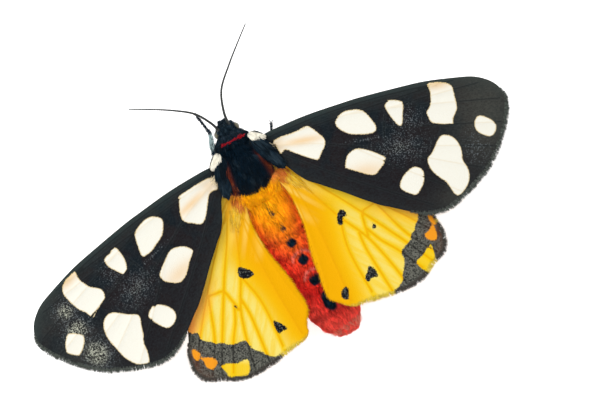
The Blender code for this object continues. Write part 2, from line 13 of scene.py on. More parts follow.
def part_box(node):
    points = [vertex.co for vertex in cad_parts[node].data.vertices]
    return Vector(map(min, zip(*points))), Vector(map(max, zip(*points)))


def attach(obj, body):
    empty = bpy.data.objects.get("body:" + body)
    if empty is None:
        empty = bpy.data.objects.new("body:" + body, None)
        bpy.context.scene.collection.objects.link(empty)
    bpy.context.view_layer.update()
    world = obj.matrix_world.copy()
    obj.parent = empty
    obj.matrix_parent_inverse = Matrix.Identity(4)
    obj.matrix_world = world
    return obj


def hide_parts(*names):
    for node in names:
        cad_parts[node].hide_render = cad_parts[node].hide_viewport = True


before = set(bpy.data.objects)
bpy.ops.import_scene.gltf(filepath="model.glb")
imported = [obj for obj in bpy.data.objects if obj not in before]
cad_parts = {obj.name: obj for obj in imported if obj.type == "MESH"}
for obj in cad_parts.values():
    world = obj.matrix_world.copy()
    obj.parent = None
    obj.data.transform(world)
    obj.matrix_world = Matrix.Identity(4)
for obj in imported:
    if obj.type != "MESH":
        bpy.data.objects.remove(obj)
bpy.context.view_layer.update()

# A place is (lateral, forward, height) in millimetres, as in the part's source. Lateral grows
# towards the moth's left and forward towards its head; height is above the floor.
MM = 0.001
SIDES = {"left": 1, "right": -1}
UPWARDS = (0.0, 0.0, 1.0)
ROOT = "root"
SEED = 11

# Photograph: its size in pixels, the millimetres that one covers at the wings, the image's
# right and up directions in the frame, and the body place at its centre
PHOTO_SIZE = (612, 408)
PIXEL = 0.106
IMAGE_RIGHT = Vector((-0.8886, 0.4587, 0.0))
IMAGE_UP = Vector((-0.4587, -0.8886, 0.0))
IMAGE_CENTRE = (-3.81, -6.26, 8.6)
LENS = 250.0
SENSOR = 36.0
CLIP_RANGE = (0.01, 10.0)

# White surfaces that face up come out this much brighter than white, so that the floor stays
# white in the photograph's shadowless way, and all colours are divided by it
LIGHT_LEVEL = 1.5
FLOOR_GLOW = 0.5
FLOOR_SHADES = (0.9, 0.94)

# The floor's half side and the lamp, in metres and watts
FLOOR_REACH = 2.0
LAMP_AT = (0.12, -0.2, 0.34)
LAMP_SIZE = 0.28
LAMP_POWER = 1.15

# Round parts of the body: (middle, radii, sides of their rings)
ROUND_FORMS = {
    "thorax": ((0.2, -0.25, 6.5), (2.35, 2.35, 2.7), 32),
    "collar": ((0.15, 3.0, 6.7), (1.8, 1.0, 1.65), 28),
    "between": ((0.18, 1.7, 6.5), (2.1, 1.3, 1.9), 28),
    "neck": ((0.16, 3.8, 6.3), (1.12, 0.9, 1.0), 20),
    "head": ((0.12, 4.5, 6.2), (1.0, 0.95, 1.0), 28),
    "waist": ((0.15, -2.1, 6.3), (2.45, 1.5, 1.5), 28),
}
THORAX_MIDDLE, HEAD_MIDDLE, WAIST_MIDDLE = (
    ROUND_FORMS[name][0][0] for name in ("thorax", "head", "waist"))
EYE_AT = {"left": (1.09, 4.55, 6.2), "right": (-0.85, 4.55, 6.2)}
EYE_RADIUS = 0.5
PALP_LINE = [(0.36, 4.9, 5.2), (0.38, 5.4, 5.0), (0.34, 5.8, 5.25)]
PALP_RADIUS = 0.2
ANTENNA_LINES = {
    "left": [(0.85, 4.95, 6.9), (1.28, 6.1, 7.25), (2.36, 7.7, 7.6), (4.14, 9, 7.8), (6.2, 10.2, 7.7),
             (8.37, 11.3, 7.4)],
    "right": [(-0.4, 4.95, 6.9), (-0.55, 6.5, 7.25), (-1.42, 8.7, 7.6), (-3.39, 10.7, 7.8),
              (-5.2, 12.3, 7.7), (-6.9, 13.75, 7.4)],
}
ANTENNA_RADII = (0.17, 0.065)
ANTENNA_RINGS = 62

# The abdomen's middle line with its half width, how flat it is, where its colours start and
# how far they run, and its folds
ABDOMEN_LINE = [
    (0.15, -1.2, 5.4, 1.5), (0.1, -2.4, 5.2, 2.15), (0.05, -3.6, 4.95, 2.5), (-0.15, -6.5, 4.4, 2.76),
    (-0.55, -10, 3.75, 2.85), (-0.95, -13.5, 3.4, 2.85), (-1.3, -16.8, 3.25, 2.65),
    (-1.6, -18.7, 3.1, 2.2), (-1.75, -19.7, 3.05, 1.4), (-1.8, -20.2, 3, 0.6),
]
ABDOMEN_FLATNESS = 0.88
ABDOMEN_FRONT = -2.5
ABDOMEN_REACH = 17.5
ABDOMEN_FOLDS = (-4.5, -6.5, -8.35, -10.45, -12.7, -15.2, -17.9)
FOLD_DEPTH = 0.16
FOLD_WIDTH = 0.28

# Pink arcs in front of two spots: (lateral, forward, radius)
ABDOMEN_ARCS = [(-0.85, -11.75, 1.3), (-1.05, -13.95, 1.2)]

# Black spots along the back: (lateral, forward, half width, half length)
BACK_SPOTS = [
    (-0.14, -5.5, 0.28, 0.26), (-0.45, -7.45, 0.28, 0.3), (-0.55, -9.23, 0.52, 0.47),
    (-0.85, -11.4, 0.55, 0.56), (-1.05, -13.9, 0.7, 0.58), (-1.25, -16.55, 0.62, 1.15),
]

# Tegulae, the flaps over the forewings' roots
TEGULA_AT = {"left": (2.62, 0.4), "right": (2.7, 0.6)}
TEGULA_TURN = {"left": 14.0, "right": 20.0}
TEGULA_HALF_LENGTH = 2.5
TEGULA_HALF_WIDTH = 0.66
TEGULA_HALF_HEIGHT = 0.26
TEGULA_TAPER = 0.55
TEGULA_LIFT = 0.62

# Cream shoulder patches in front of the tegulae, from the collar outwards: (out, forward)
PATCH_ENDS = {"left": ((1.95, 2.7), (3.25, 1.55)), "right": ((1.7, 3.15), (3.05, 2.0))}
PATCH_HALF_WIDTH = 0.37
PATCH_HEIGHT = 0.22
PATCH_LIFT = 0.72
PATCH_FALL = 0.35

# Legs: hip, trochanter, knee, ankle, heel and toe
FOOT_LEVEL = 0.16
LEG_STEPS = 10
LEG_LINES = {
    "leg_fore_left": [(1.2, 1.2, 4.6), (1.5, 1.7, 3.2), (2.45, 3.05, 3.7),
                      (1.95, 5.0, 1.5), (2.02, 6.0, FOOT_LEVEL), (2.36, 7.7, FOOT_LEVEL)],
    "leg_fore_right": [(-1.0, 1.0, 4.6), (-1.4, 1.0, 3.1), (-3.2, 0.3, 3.7),
                       (-3.75, 1.2, 1.4), (-3.95, 2.1, FOOT_LEVEL), (-4.5, 3.3, FOOT_LEVEL)],
    "leg_mid_left": [(1.5, -0.6, 4.5), (2.2, -0.8, 3.1), (5.4, -1.0, 5.0),
                     (7.6, -1.7, 1.6), (8.1, -1.9, FOOT_LEVEL), (9.5, -2.4, FOOT_LEVEL)],
    "leg_mid_right": [(-1.1, -0.6, 4.5), (-1.9, -0.8, 3.1), (-5.2, -1.0, 5.0),
                      (-7.4, -1.7, 1.6), (-7.9, -1.9, FOOT_LEVEL), (-9.3, -2.4, FOOT_LEVEL)],
    "leg_hind_left": [(1.0, -1.4, 4.3), (1.7, -2.6, 2.3), (4.4, -5.6, 3.9),
                      (5.7, -9.3, 1.5), (5.9, -10.0, FOOT_LEVEL), (6.6, -11.7, FOOT_LEVEL)],
    "leg_hind_right": [(-0.8, -1.4, 4.3), (-1.5, -2.6, 2.3), (-4.2, -5.6, 3.9),
                       (-5.7, -9.3, 1.5), (-5.9, -10.0, FOOT_LEVEL), (-6.6, -11.7, FOOT_LEVEL)],
}
CLAW_LENGTH = 0.34
CLAW_WIDTH = 0.09

# A claw's bends: (share of its length, splay, rise)
CLAW_BENDS = ((-0.2, 0.02, 0.0), (0.35, 0.11, 0.06), (0.75, 0.16, 0.02), (1.0, 0.17, -0.07))

# The skin is remeshed at this voxel, and the feet are flat at this height, both in millimetres
SKIN_VOXEL = 0.085
SKIN_SMOOTHING = 3
SKIN_FLOOR = 0.01

# A tuft: shares of its length where its rings lie, their girths, their rise off the skin and
# their shades, how high its ridge is, and how many tufts share a lock
TUFT_SHARES = np.array([0.0, 0.35, 0.7, 1.0])
TUFT_GIRTHS = np.array([0.75, 1.0, 0.68])
TUFT_RISES = np.array([-0.06, 0.55, 0.95, 1.0])
TUFT_SHADES = np.array([0.62, 0.85, 1.05, 1.2])
TUFT_RIDGE = 0.7
LOCK_TUFTS = 9

# No tuft's middle line comes lower than this, in millimetres
TUFT_FLOOR = 0.07

# How much of the unit square a tuft takes up when its colour is baked, and the wings' lowest
# plan place and span there
TUFT_PATCH = 0.003
BAKE_FROM = np.array([-3.0, -11.5])
BAKE_SPAN = np.array([29.5, 15.5])

# Wings, in plan x outwards from the hinge and y towards the head
WING_LEVEL = 8.6
WING_REACH = 28.0
WING_ARCH = 0.35
WING_DROOP = 1.3
ROOT_DIP = 0.8
ROOT_DIP_AT = (2.0, 0.5)
ROOT_DIP_SPREAD = 2.5
HINDWING_DROP = 1.15
FOREWING_SWEEP = 17.0
HINDWING_SWEEP = 55.0
FOREWING_HINGE = {"left": (4.11, 0.88), "right": (3.72, 1.42)}
HINDWING_HINGE = {"left": (2.82, -2.21), "right": (3.30, -1.46)}
MEMBRANE_HALF = 0.05
VEIN_RISE = 0.07
VEIN_REACH = 0.17
CELL_SAG = 0.06
CELL_REACH = 0.6

# The membranes' grid, with its rows' spacing and its gaps to the rim and the veins as shares
WING_GRID = 0.24
GRID_ROWS = 0.87
GRID_OFF_RIM = 0.55
GRID_OFF_VEIN = 0.4

# How far the membrane is drawn in under a fringe, and over what run at the fringe's ends
FRINGE_INSET = 0.2
FRINGE_RAMP = 2.6
FOREWING_OUTLINE = [
    (-2.4, 0.2), (-0.7, 0.8), (0.5, 1.15), (4, 1.95), (8, 2.55), (10, 2.8), (14, 3.1), (17, 3.25),
    (20, 3.1), (22, 2.9), (23.3, 2.45), (24.3, 1.8), (25, 0.9), (25.35, 0), (25.15, -1.4), (24.7, -2.7),
    (24.1, -4), (23.4, -5.2), (22.2, -6.9), (21, -7.95), (20, -8.75), (19, -9.45), (18, -10.1),
    (17, -10.55), (16, -10.7), (15, -10.65), (14, -10.4), (13, -10.05), (11, -9.2), (10, -8.8), (8, -7.7),
    (6.5, -6.8), (5, -6), (4, -5.45), (3, -4.95), (2, -4.1), (1.2, -3.2), (0.5, -2.5), (-1, -1.7),
    (-2.4, -1.5),
]

# Stretches of the hindwings' outline, of which two differ between the sides
HINDWING_COSTA = [(-2.6, 0.3), (-0.6, 1), (3, 2.1), (7, 2.85)]
HINDWING_TIP = {
    "right": [(11, 3.4), (14, 3.4), (16.4, 3.05), (17.3, 2.6), (18.2, 2), (19, 1.3), (19.4, 0.6),
              (19.5, -0.1)],
    "left": [(11, 3.3), (13.6, 3.1), (15.4, 2.7), (17, 2.45), (18.2, 1.9), (19, 1.25), (19.4, 0.6),
             (19.45, -0.1)],
}
HINDWING_MARGIN = [
    (19.3, -0.9), (19.1, -1.6), (19, -2.8), (18.75, -3.7), (18.35, -4.5), (17.8, -5.3), (17.1, -6.1),
    (16.5, -6.8), (15.9, -7.35), (15.2, -8), (14.6, -8.6),
]
HINDWING_CORNER = {
    "right": [(14.1, -9.2), (13.3, -9.75), (12.5, -9.9), (11.2, -10.1), (10.4, -9.65), (9.7, -9.05)],
    "left": [(14, -9.3), (13.1, -9.85), (12.4, -9.6), (11.7, -9.5), (11, -9.5), (10.4, -9.4),
             (9.7, -8.95)],
}
HINDWING_INNER = [
    (8.9, -8.25), (8, -7.5), (7, -6.5), (6, -5.35), (5, -4.3), (4, -3.5), (3, -2.7), (2, -2.1), (1, -1.7),
    (0.2, -1.5), (-2.6, -1.2),
]
HINDWING_OUTLINE = {side: (HINDWING_COSTA + HINDWING_TIP[side] + HINDWING_MARGIN
                           + HINDWING_CORNER[side] + HINDWING_INNER) for side in SIDES}
FOREWING_VEINS = [
    [(-0.4, 0.35), (5, 1.55), (10, 2.25), (15, 2.65), (20, 2.8)],
    [(-0.4, -0.15), (4, 0.6), (8.5, 1.25), (13, 1.9), (18, 2.6)],
    [(8.5, 1.25), (12.5, 1.15), (18, 1.7), (22.6, 2.1)],
    [(12.5, 1.15), (18, 0.7), (24.6, 0.1)],
    [(-0.4, -0.6), (4, -1.1), (8, -2.1), (11.8, -3)],
    [(12.5, 1.15), (11.9, -0.8), (11.8, -3)],
    [(11.9, -0.8), (18, -1.6), (24.2, -2.4)],
    [(11.8, -3), (17, -3.7), (23.1, -4.8)],
    [(11.8, -3), (16.5, -5), (21.6, -6.9)],
    [(8, -2.1), (13, -5.4), (18.8, -8.9)],
    [(0.2, -1.2), (4, -3.6), (9, -6.4), (15.6, -9.8)],
]
HINDWING_VEINS = [
    [(0, 0.55), (5, 1.7), (10, 2.55), (15, 2.6)],
    [(0, 0.3), (5, 0.95), (10.6, 1.35), (15.2, 1.5), (18.4, 1.4)],
    [(0, 0.1), (2, 0.3), (5, 0), (7, -0.1), (10, -0.35), (15.2, -0.9), (19, -1.4)],
    [(10.7, 1.35), (10.3, 0.6), (9.9, -0.3), (10.6, -1.2), (11.6, -2.2)],
    [(10.6, 1.2), (12, 0.8), (15.2, -0.1), (18.9, -0.4)],
    [(11, -1.6), (13, -2), (15.2, -2.1), (18.8, -2.6)],
    [(0, -0.1), (2, -0.4), (5, -1.2), (8, -1.9), (11.6, -2.4), (15, -3.6), (17.9, -4.9)],
    [(10.6, -2.4), (12, -3.5), (14, -4.7), (16.6, -6.2)],
    [(8.3, -2.2), (10, -4.1), (12, -5.6), (15.2, -7.6)],
    [(0.2, -0.3), (4, -2.3), (7, -4.3), (10, -6.6), (13.2, -9.2)],
    [(1.6, -1.2), (5, -4), (8, -6.7), (10.4, -9.2)],
]

# Cream patches of the forewings
FOREWING_PALE = {
    "right": [
        [(0.1, -0.15), (1, 0.2), (2.5, 0.4), (3.7, 0.8), (4.2, 0.65), (5, -0.2), (5.5, -0.9), (5.4, -1.6),
         (4.9, -2.3), (4.5, -2.9), (4.1, -2.85), (3.2, -2.4), (2, -1.7), (1.2, -1.25), (0.65, -1.6),
         (0.3, -0.7)],
        [(6.9, 0.5), (7.2, 1.1), (7.9, 1.55), (8.6, 1.65), (9.8, 1.5), (10.4, 0.9), (10.9, 0),
         (11.1, -0.5), (11, -1), (10.3, -1.2), (9, -1.05), (8, -0.75), (7.2, -0.1)],
        [(12.4, 1.4), (12.7, 1.9), (13.2, 1.95), (14.2, 1.6), (14.35, 1.2), (14.1, 0.1), (13.9, -0.8),
         (13.6, -0.95), (13.3, -0.7), (12.8, 0.2), (12.5, 0.9)],
        [(17.25, 2.9), (18.2, 2.95), (19.2, 2.7), (19.8, 2.2), (19.9, 1.2), (19.95, 0), (19.7, -0.6),
         (19.3, -1.2), (19.15, -1.9), (18.2, -1.6), (17, -1.2), (16.7, -0.4), (16.65, 0), (17.2, 0.75),
         (17.4, 2.1)],
        [(21.5, -1.9), (22.1, -1.35), (23.1, -1.85), (23.7, -2.6), (23.45, -3.4), (22.9, -3.75),
         (22.1, -3.4), (21.5, -2.8)],
        [(7.2, -3.9), (7.5, -3.1), (8.1, -2.65), (8.8, -2.5), (9.8, -2.85), (10.9, -3.5), (11.5, -4),
         (11.3, -4.5), (10.7, -5.1), (10.1, -5.55), (9.3, -5.4), (8.1, -4.8), (7.15, -4.3)],
        [(14.2, -5.5), (14.9, -5.7), (15.2, -6.2), (15.1, -7.1), (14.7, -7.8), (14.2, -8.35), (13.8, -8.4),
         (12.9, -7.9), (12.45, -7.3), (12.8, -6.5), (13.4, -5.9)],
        [(17.9, -2.7), (18.8, -3), (19.4, -3.8), (19.6, -4.7), (19.55, -5.7), (19.9, -6.6), (19.95, -7.3),
         (19.7, -8.2), (19, -9), (18.5, -9.3), (18.1, -9.15), (17.8, -8.6), (17.4, -7.7), (16.9, -7.2),
         (16.2, -6.4), (15.85, -5.5), (15.9, -4.8), (16.4, -4.4), (16.9, -3.7), (17.3, -3.1)],
    ],
    "left": [
        [(-0.3, -0.1), (1, 0.35), (2.4, 0.65), (3.6, 0.85), (3.9, 0.5), (4.6, -0.3), (5, -1), (5, -1.6),
         (4.4, -2.4), (4, -2.9), (3.5, -2.9), (2.9, -2.6), (2, -1.9), (1.2, -1.3), (0.6, -1.25),
         (0.1, -1.5), (-0.2, -0.9)],
        [(6.55, 0.4), (6.9, 1.1), (7.5, 1.5), (8.3, 1.6), (9.5, 1.4), (10, 0.9), (10.4, 0.1),
         (10.75, -0.7), (10.75, -1.1), (9.8, -1.3), (9, -1.15), (7.8, -0.9), (6.9, -0.2)],
        [(12.15, 1.4), (12.4, 1.95), (12.9, 1.65), (13.8, 1.65), (14.15, 1.2), (14.1, 0.5), (13.9, -0.1),
         (13.6, -0.9), (13.2, -1.05), (12.8, -0.7), (12.3, 0.2)],
        [(17.05, 2.8), (17.3, 2.9), (18.6, 2.9), (19.3, 2.5), (19.65, 1.9), (19.7, 0.8), (19.6, -0.3),
         (19.3, -1), (19.15, -1.9), (18.9, -2), (18.2, -1.7), (16.8, -1.45), (16.35, -0.5), (17.05, 0.6),
         (17.2, 1.2), (17.3, 2)],
        [(21.25, -2.4), (22.15, -1.4), (22.9, -1.7), (23.5, -2.3), (23.7, -2.8), (23.1, -3.75),
         (22.9, -3.85), (22, -3.5), (21.3, -2.9)],
        [(6.55, -4), (6.9, -3.3), (7.6, -2.8), (8.3, -2.6), (9.2, -2.9), (10.4, -3.4), (10.95, -3.8),
         (11, -4.4), (10.6, -5.1), (10, -5.7), (9.5, -5.8), (8.7, -5.6), (7.6, -4.9), (6.6, -4.4)],
        [(13.9, -5.55), (14.6, -5.85), (14.85, -6.2), (14.7, -7.1), (14.4, -8), (14, -8.4), (13.2, -8.4),
         (12.6, -8), (12.4, -7.3), (12.7, -6.4), (13.3, -5.7)],
        [(17.9, -2.85), (18.6, -3.1), (19.2, -3.8), (19.55, -4.8), (19.65, -6.5), (19.65, -7.4),
         (19.3, -8.6), (18.8, -9.2), (18.2, -9.55), (17.8, -9.2), (17.4, -8.5), (17.1, -7.7), (16.5, -7),
         (16, -6.2), (15.5, -5.5), (15.5, -5), (16.2, -4.3), (16.8, -3.5), (17.3, -3)],
    ],
}

# The dark band of a hindwing from its inner edge out past the margin, the patches of light
# colour in it, and the free black spots
HINDWING_BAND = {
    "right": [(15.1, 3.6), (15.2, 2.3), (15.5, 1.8), (15.5, 1.2), (15.7, 0.6), (15.6, 0), (15.8, -0.5),
              (15.6, -1.5), (15.55, -2.2), (16.2, -2.7), (16.6, -3.5), (16.8, -4.2), (17.1, -4.8),
              (17, -5.6), (16.95, -6.2), (17.4, -6.6), (20.5, -4), (20.5, 1), (18.5, 3.5)],
    "left": [(14.6, 3.4), (14.8, 2.45), (14.6, 1.9), (15, 1.5), (15.3, 1.3), (15.4, 0.6), (15.35, 0.3),
             (15.5, -0.3), (15.3, -0.9), (15.4, -1.5), (15.25, -2.3), (14.9, -2.9), (14.75, -3.4),
             (15.2, -3.8), (15.6, -4.5), (15.7, -5.2), (16, -6), (16, -6.7), (15.85, -7.5), (16.6, -7.9),
             (20.5, -4), (20.5, 1), (18.5, 3.5)],
}
HINDWING_ORANGE = {
    "right": [
        [(16.25, 2.75), (16.6, 3), (16.9, 2.7), (17.4, 2.6), (17.45, 2.2), (17.2, 2), (16.7, 2.2),
         (16.4, 2.4)],
        [(17.15, 2.05), (17.8, 1.5), (18.25, 0.9), (17.95, 0.5), (17.3, 0.4), (16.9, 0.7), (17.1, 1.3)],
    ],
    "left": [
        [(16.4, 2.1), (16.9, 2.1), (17.55, 1.6), (17.4, 1.3), (16.9, 1.2), (16.55, 1.6)],
        [(17.2, 1.2), (17.6, 0.7), (18.1, 0.4), (18.25, -0.3), (17.8, -0.6), (17.4, -0.7), (17.1, -0.4),
         (17, -0.1), (17.1, 0.5)],
    ],
}
HINDWING_YELLOW = {
    "right": [(17.9, 0), (18.4, -0.3), (19, -0.95), (19.6, -1.5), (19.6, -2.6), (18.6, -2.7),
              (17.8, -2.55), (17.45, -2.3), (17.6, -1.8), (17.75, -1.3), (17.8, -0.5)],
    "left": [(17.7, -1.25), (17.9, -1.2), (18.4, -1.8), (18.85, -2.2), (18.6, -3), (18.45, -4),
             (17.8, -4.2), (17.3, -4.1), (16.7, -3.85), (17, -3.2), (17.3, -2.7), (17.4, -1.8)],
}
HINDWING_SPOTS = {
    "right": [
        [(7.75, -1.1), (8.4, -1.15), (8.6, -1.4), (8.4, -1.8), (8.7, -2.4), (8.35, -2.7), (8, -2.4),
         (7.7, -1.8)],
        [(11.45, -0.85), (11.7, -0.8), (12, -1.1), (11.7, -1.35)],
        [(13.15, -5), (13.9, -5.05), (14.3, -5.3), (14.55, -5.6), (14.1, -6), (14, -6.5), (13.8, -6.65),
         (13.4, -6.3), (13.35, -5.7)],
        [(11.9, -8.3), (12.35, -8.15), (12.65, -8.6), (12.95, -9.15), (12.5, -9.4), (12, -9.1)],
    ],
    "left": [
        [(7.1, -1.6), (7.5, -1.5), (8.1, -1.7), (8.25, -2.2), (8.1, -2.8), (7.75, -3.25), (7.4, -3.1),
         (7.2, -2.5)],
        [(11.15, -1.65), (11.35, -1.65), (11.55, -1.95), (11.3, -2)],
        [(12.25, -5.95), (12.9, -6.2), (13.55, -6.75), (13.2, -7.1), (12.95, -7.6), (12.6, -7.2),
         (12.4, -6.7)],
    ],
}
HINDWING_INNER_EDGE = [(0.3, -0.7), (3, -2.7), (5, -4.3), (8, -7.5), (11.2, -10.2)]

# Where the fringes start and end along the margins
FOREWING_FRINGE = ((24.9, 1.0), (13.0, -10.05))
HINDWING_FRINGE = ((16.0, 3.1), (13.4, -9.7))
HINDWING_INNER_FRINGE = ((13.4, -9.7), (1.5, -1.5))

# Soft patches on the wings: (x, y, reach along x, reach along y, strength)
FOREWING_WARM = [
    (3.2, -0.65, 2.4, 0.42, 0.8), (0.6, -0.7, 0.9, 0.9, 0.55), (9.2, -5.1, 2.2, 0.9, 0.6),
    (18.3, 2.75, 1.5, 0.6, 0.75),
]
FOREWING_SPECKLE = {
    "left": [(20.8, 0.5, 1.7, 1.6, 0.75), (21.3, -1.8, 2.1, 1.9, 0.8), (21.5, -5, 2.2, 2.5, 0.8),
             (13.6, -3, 3.2, 2, 0.55), (10.8, -1.7, 5.2, 0.3, 0.45), (14.5, 0, 2, 2, 0.4)],
    "right": [(21.2, -4.6, 2, 2.6, 0.45), (13.2, -3.2, 3.8, 2, 0.55), (10.8, -1.7, 5.2, 0.3, 0.5),
              (14.5, -0.5, 2.6, 2.2, 0.45)],
}
FOREWING_SMOKE = {
    "left": [(22.6, 1, 2.8, 2.4, 0.35), (22.5, -4, 2.6, 3, 0.45)],
    "right": [(23, -1, 4, 5.5, 1), (19, -9.5, 3, 1.5, 0.7)],
}
HINDWING_WARM = {
    "left": [(14, 2.6, 2.6, 0.75, 1), (11, 2.3, 2.6, 0.5, 0.7), (8, 2.1, 3, 0.5, 0.4),
             (0.2, -0.2, 1.6, 0.9, 0.3)],
    "right": [(13.4, 2.3, 3, 0.7, 0.7), (7, 2.2, 5, 0.7, 0.3), (0.2, -0.2, 1.6, 0.9, 0.3)],
}
HINDWING_BROWN = [(18.6, 2.1, 1.6, 1.3, 1), (19.3, 0.2, 0.8, 1, 0.5)]

# How pale the hindwings get and from where outwards, and how much deeper and warmer they get beside the
# forewing
HINDWING_PALENESS = {"left": 1.0, "right": 0.75}
HINDWING_PALE_FROM = {"left": -4.0, "right": 1.0}
HINDWING_DEEP_REACH = {"left": 0.3, "right": 2.0}
HINDWING_FRONT_WARM = {"left": 0.8, "right": 0.25}
# The strip that the forewing's shadow darkens, and how much painted light offsets that shadow there on
# each side
HINDWING_SHADE_REACH = 1.6
HINDWING_PAINTED_LIGHT = {"left": 0.9, "right": 0.35}


def eye_shift():
    """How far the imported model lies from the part's own middle, in millimetres."""
    low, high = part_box("eye_left")
    middle = (Vector(low) + Vector(high)) / 2 / MM
    lateral, forward, height = EYE_AT["left"]
    return np.array([middle.x - lateral, middle.y + forward, middle.z - height])


SHIFT = eye_shift()


def to_row(places):
    """Body places as frame places, both in millimetres."""
    return np.asarray(places, float) * (1, -1, 1) + SHIFT


def to_body(places):
    return (places - SHIFT) * (1, -1, 1)


def colour(*seen):
    """A linear colour from one as seen, 0 to 255, less the light's level."""
    share = np.array(seen) / 255
    linear = np.where(share <= 0.04045, share / 12.92, ((share + 0.055) / 1.055) ** 2.4)
    return linear / LIGHT_LEVEL


def blend(first, second, share):
    """Colours between two, each one colour or one for each place."""
    share = np.clip(share, 0.0, 1.0)[:, None]
    return first * (1.0 - share) + second * share


def fade(value, start, end):
    """0 to 1 as the value goes from start to end."""
    return np.clip((value - start) / (end - start), 0.0, 1.0)


def read(setting, places):
    """A setting at some places: a value, or a function of the places."""
    return setting(places) if callable(setting) else setting


def unit(vectors):
    return vectors / np.maximum(np.linalg.norm(vectors, axis=-1, keepdims=True), 1e-9)


def smooth_route(points, steps, closed=False):
    """Samples of a Catmull-Rom curve through the points, steps to each span."""
    points = np.asarray(points, float)
    count = len(points)
    near = np.arange(count if closed else count - 1)[:, None] + np.arange(-1, 3)
    near = near % count if closed else np.clip(near, 0, count - 1)
    a, b, c, d = (points[near[:, i], None] for i in range(4))
    t = (np.arange(steps) / steps)[:, None]
    samples = 0.5 * (2 * b + (c - a) * t + (2 * a - 5 * b + 4 * c - d) * t ** 2
                     + (3 * b - a - 3 * c + d) * t ** 3)
    samples = samples.reshape(-1, points.shape[1])
    return samples if closed else np.vstack([samples, points[-1:]])


def line_distance(spots, route):
    """Shortest distance from each plan spot to a broken line."""
    best = np.full(len(spots), np.inf)
    for start, end in zip(route[:-1], route[1:]):
        along = end - start
        share = np.clip((spots - start) @ along / max(along @ along, 1e-12), 0.0, 1.0)
        away = np.linalg.norm(spots - start - share[:, None] * along, axis=1)
        best = np.minimum(best, away)
    return best


def is_inside(spots, outline):
    x, y = spots.T
    inside = np.zeros(len(spots), bool)
    for (ax, ay), (bx, by) in zip(outline, np.roll(outline, -1, axis=0)):
        if ay != by:
            inside ^= ((ay > y) != (by > y)) & (x < ax + (bx - ax) * (y - ay) / (by - ay))
    return inside


def signed_distance(spots, outline):
    """Distance of each plan spot from an outline, positive inside it."""
    away = line_distance(spots, np.vstack([outline, outline[:1]]))
    return np.where(is_inside(spots, outline), away, -away)


def largest_distance(spots, outlines):
    return np.max([signed_distance(spots, smooth_route(outline, 4, closed=True))
                   for outline in outlines], axis=0)


def soft_patches(spots, patches):
    """The strongest of several soft-edged elliptic patches at each spot."""
    best = np.zeros(len(spots))
    for x, y, reach_x, reach_y, strength in patches:
        away = ((spots[:, 0] - x) / reach_x) ** 2 + ((spots[:, 1] - y) / reach_y) ** 2
        best = np.maximum(best, strength * np.exp(-away))
    return best


class Paint:
    """A material built round one Principled shader. Colours in tuples are as seen."""

    def __init__(self, name, settings):
        self.material = bpy.data.materials.new(name)
        self.material.use_nodes = True
        self.tree = self.material.node_tree
        self.shader = self.tree.nodes["Principled BSDF"]
        for socket, value in settings.items():
            self.shader.inputs[socket].default_value = value

    def add(self, kind, inputs, output=0, **settings):
        """One output of a new node, its inputs filled with links or values."""
        made = self.tree.nodes.new("ShaderNode" + kind)
        for setting, value in settings.items():
            setattr(made, setting, value)
        for socket, value in inputs.items():
            if isinstance(value, bpy.types.NodeSocket):
                self.tree.links.new(value, made.inputs[socket])
            else:
                made.inputs[socket].default_value = value
        return made.outputs[output]

    def field(self, name, output="Fac"):
        return self.add("Attribute", {}, output, attribute_name=name)

    def math(self, operation, first, second):
        return self.add("Math", {0: first, 1: second}, operation=operation)

    def times(self, first, second):
        return self.math("MULTIPLY", first, second)

    def stretch(self, vector, factors):
        return self.add("VectorMath", {0: vector, 1: factors}, operation="MULTIPLY")

    def step(self, value, low, high, start=0.0, end=1.0):
        """A smooth rise from start to end as the value goes from low to high."""
        return self.add("MapRange", {"Value": value, "From Min": low, "From Max": high,
                                     "To Min": start, "To Max": end},
                        "Result", interpolation_type="SMOOTHSTEP")

    def layers(self, base, *layers):
        """Colours laid over the base one after the other, each through its mask."""
        for mask, laid in layers:
            ends = {0: mask, 6: base, 7: laid}
            for socket in (6, 7):
                if isinstance(ends[socket], tuple):
                    ends[socket] = colour(*ends[socket])
                if isinstance(ends[socket], np.ndarray):
                    ends[socket] = (*ends[socket], 1.0)
            base = self.add("Mix", ends, 2, data_type="RGBA")
        return base

    def noise(self, vector, scale, detail=2.0):
        return self.add("TexNoise", {"Vector": vector, "Scale": scale, "Detail": detail}, "Fac")

    def ragged(self, vector, scale, detail, strength):
        """Noise about zero, to fray an edge with."""
        return self.times(self.math("SUBTRACT", self.noise(vector, scale, detail), 0.5), strength)

    def cells(self, vector, scale):
        """Random cells: how far a spot is from its cell's middle, and one number per cell."""
        away = self.add("TexVoronoi", {"Vector": vector, "Scale": scale}, "Distance")
        return away, self.add("SeparateColor", {0: away.node.outputs["Color"]})

    def bump(self, height, distance, strength):
        normal = self.add("Bump", {"Height": height, "Distance": distance, "Strength": strength})
        self.tree.links.new(normal, self.shader.inputs["Normal"])

    def base(self, value):
        self.tree.links.new(value, self.shader.inputs["Base Color"])
        return self.material


def wing_paint(name):
    """A wing's paint, its local place, and the tone of its scales, which make a relief."""
    paint = Paint(name, {"Roughness": 0.55, "Specular IOR Level": 0.03})
    place = paint.field("local", "Vector")
    height, tone = paint.cells(paint.stretch(place, (7, 12, 1)), 1.0)
    paint.bump(height, 0.00003, 0.7)
    return paint, place, tone


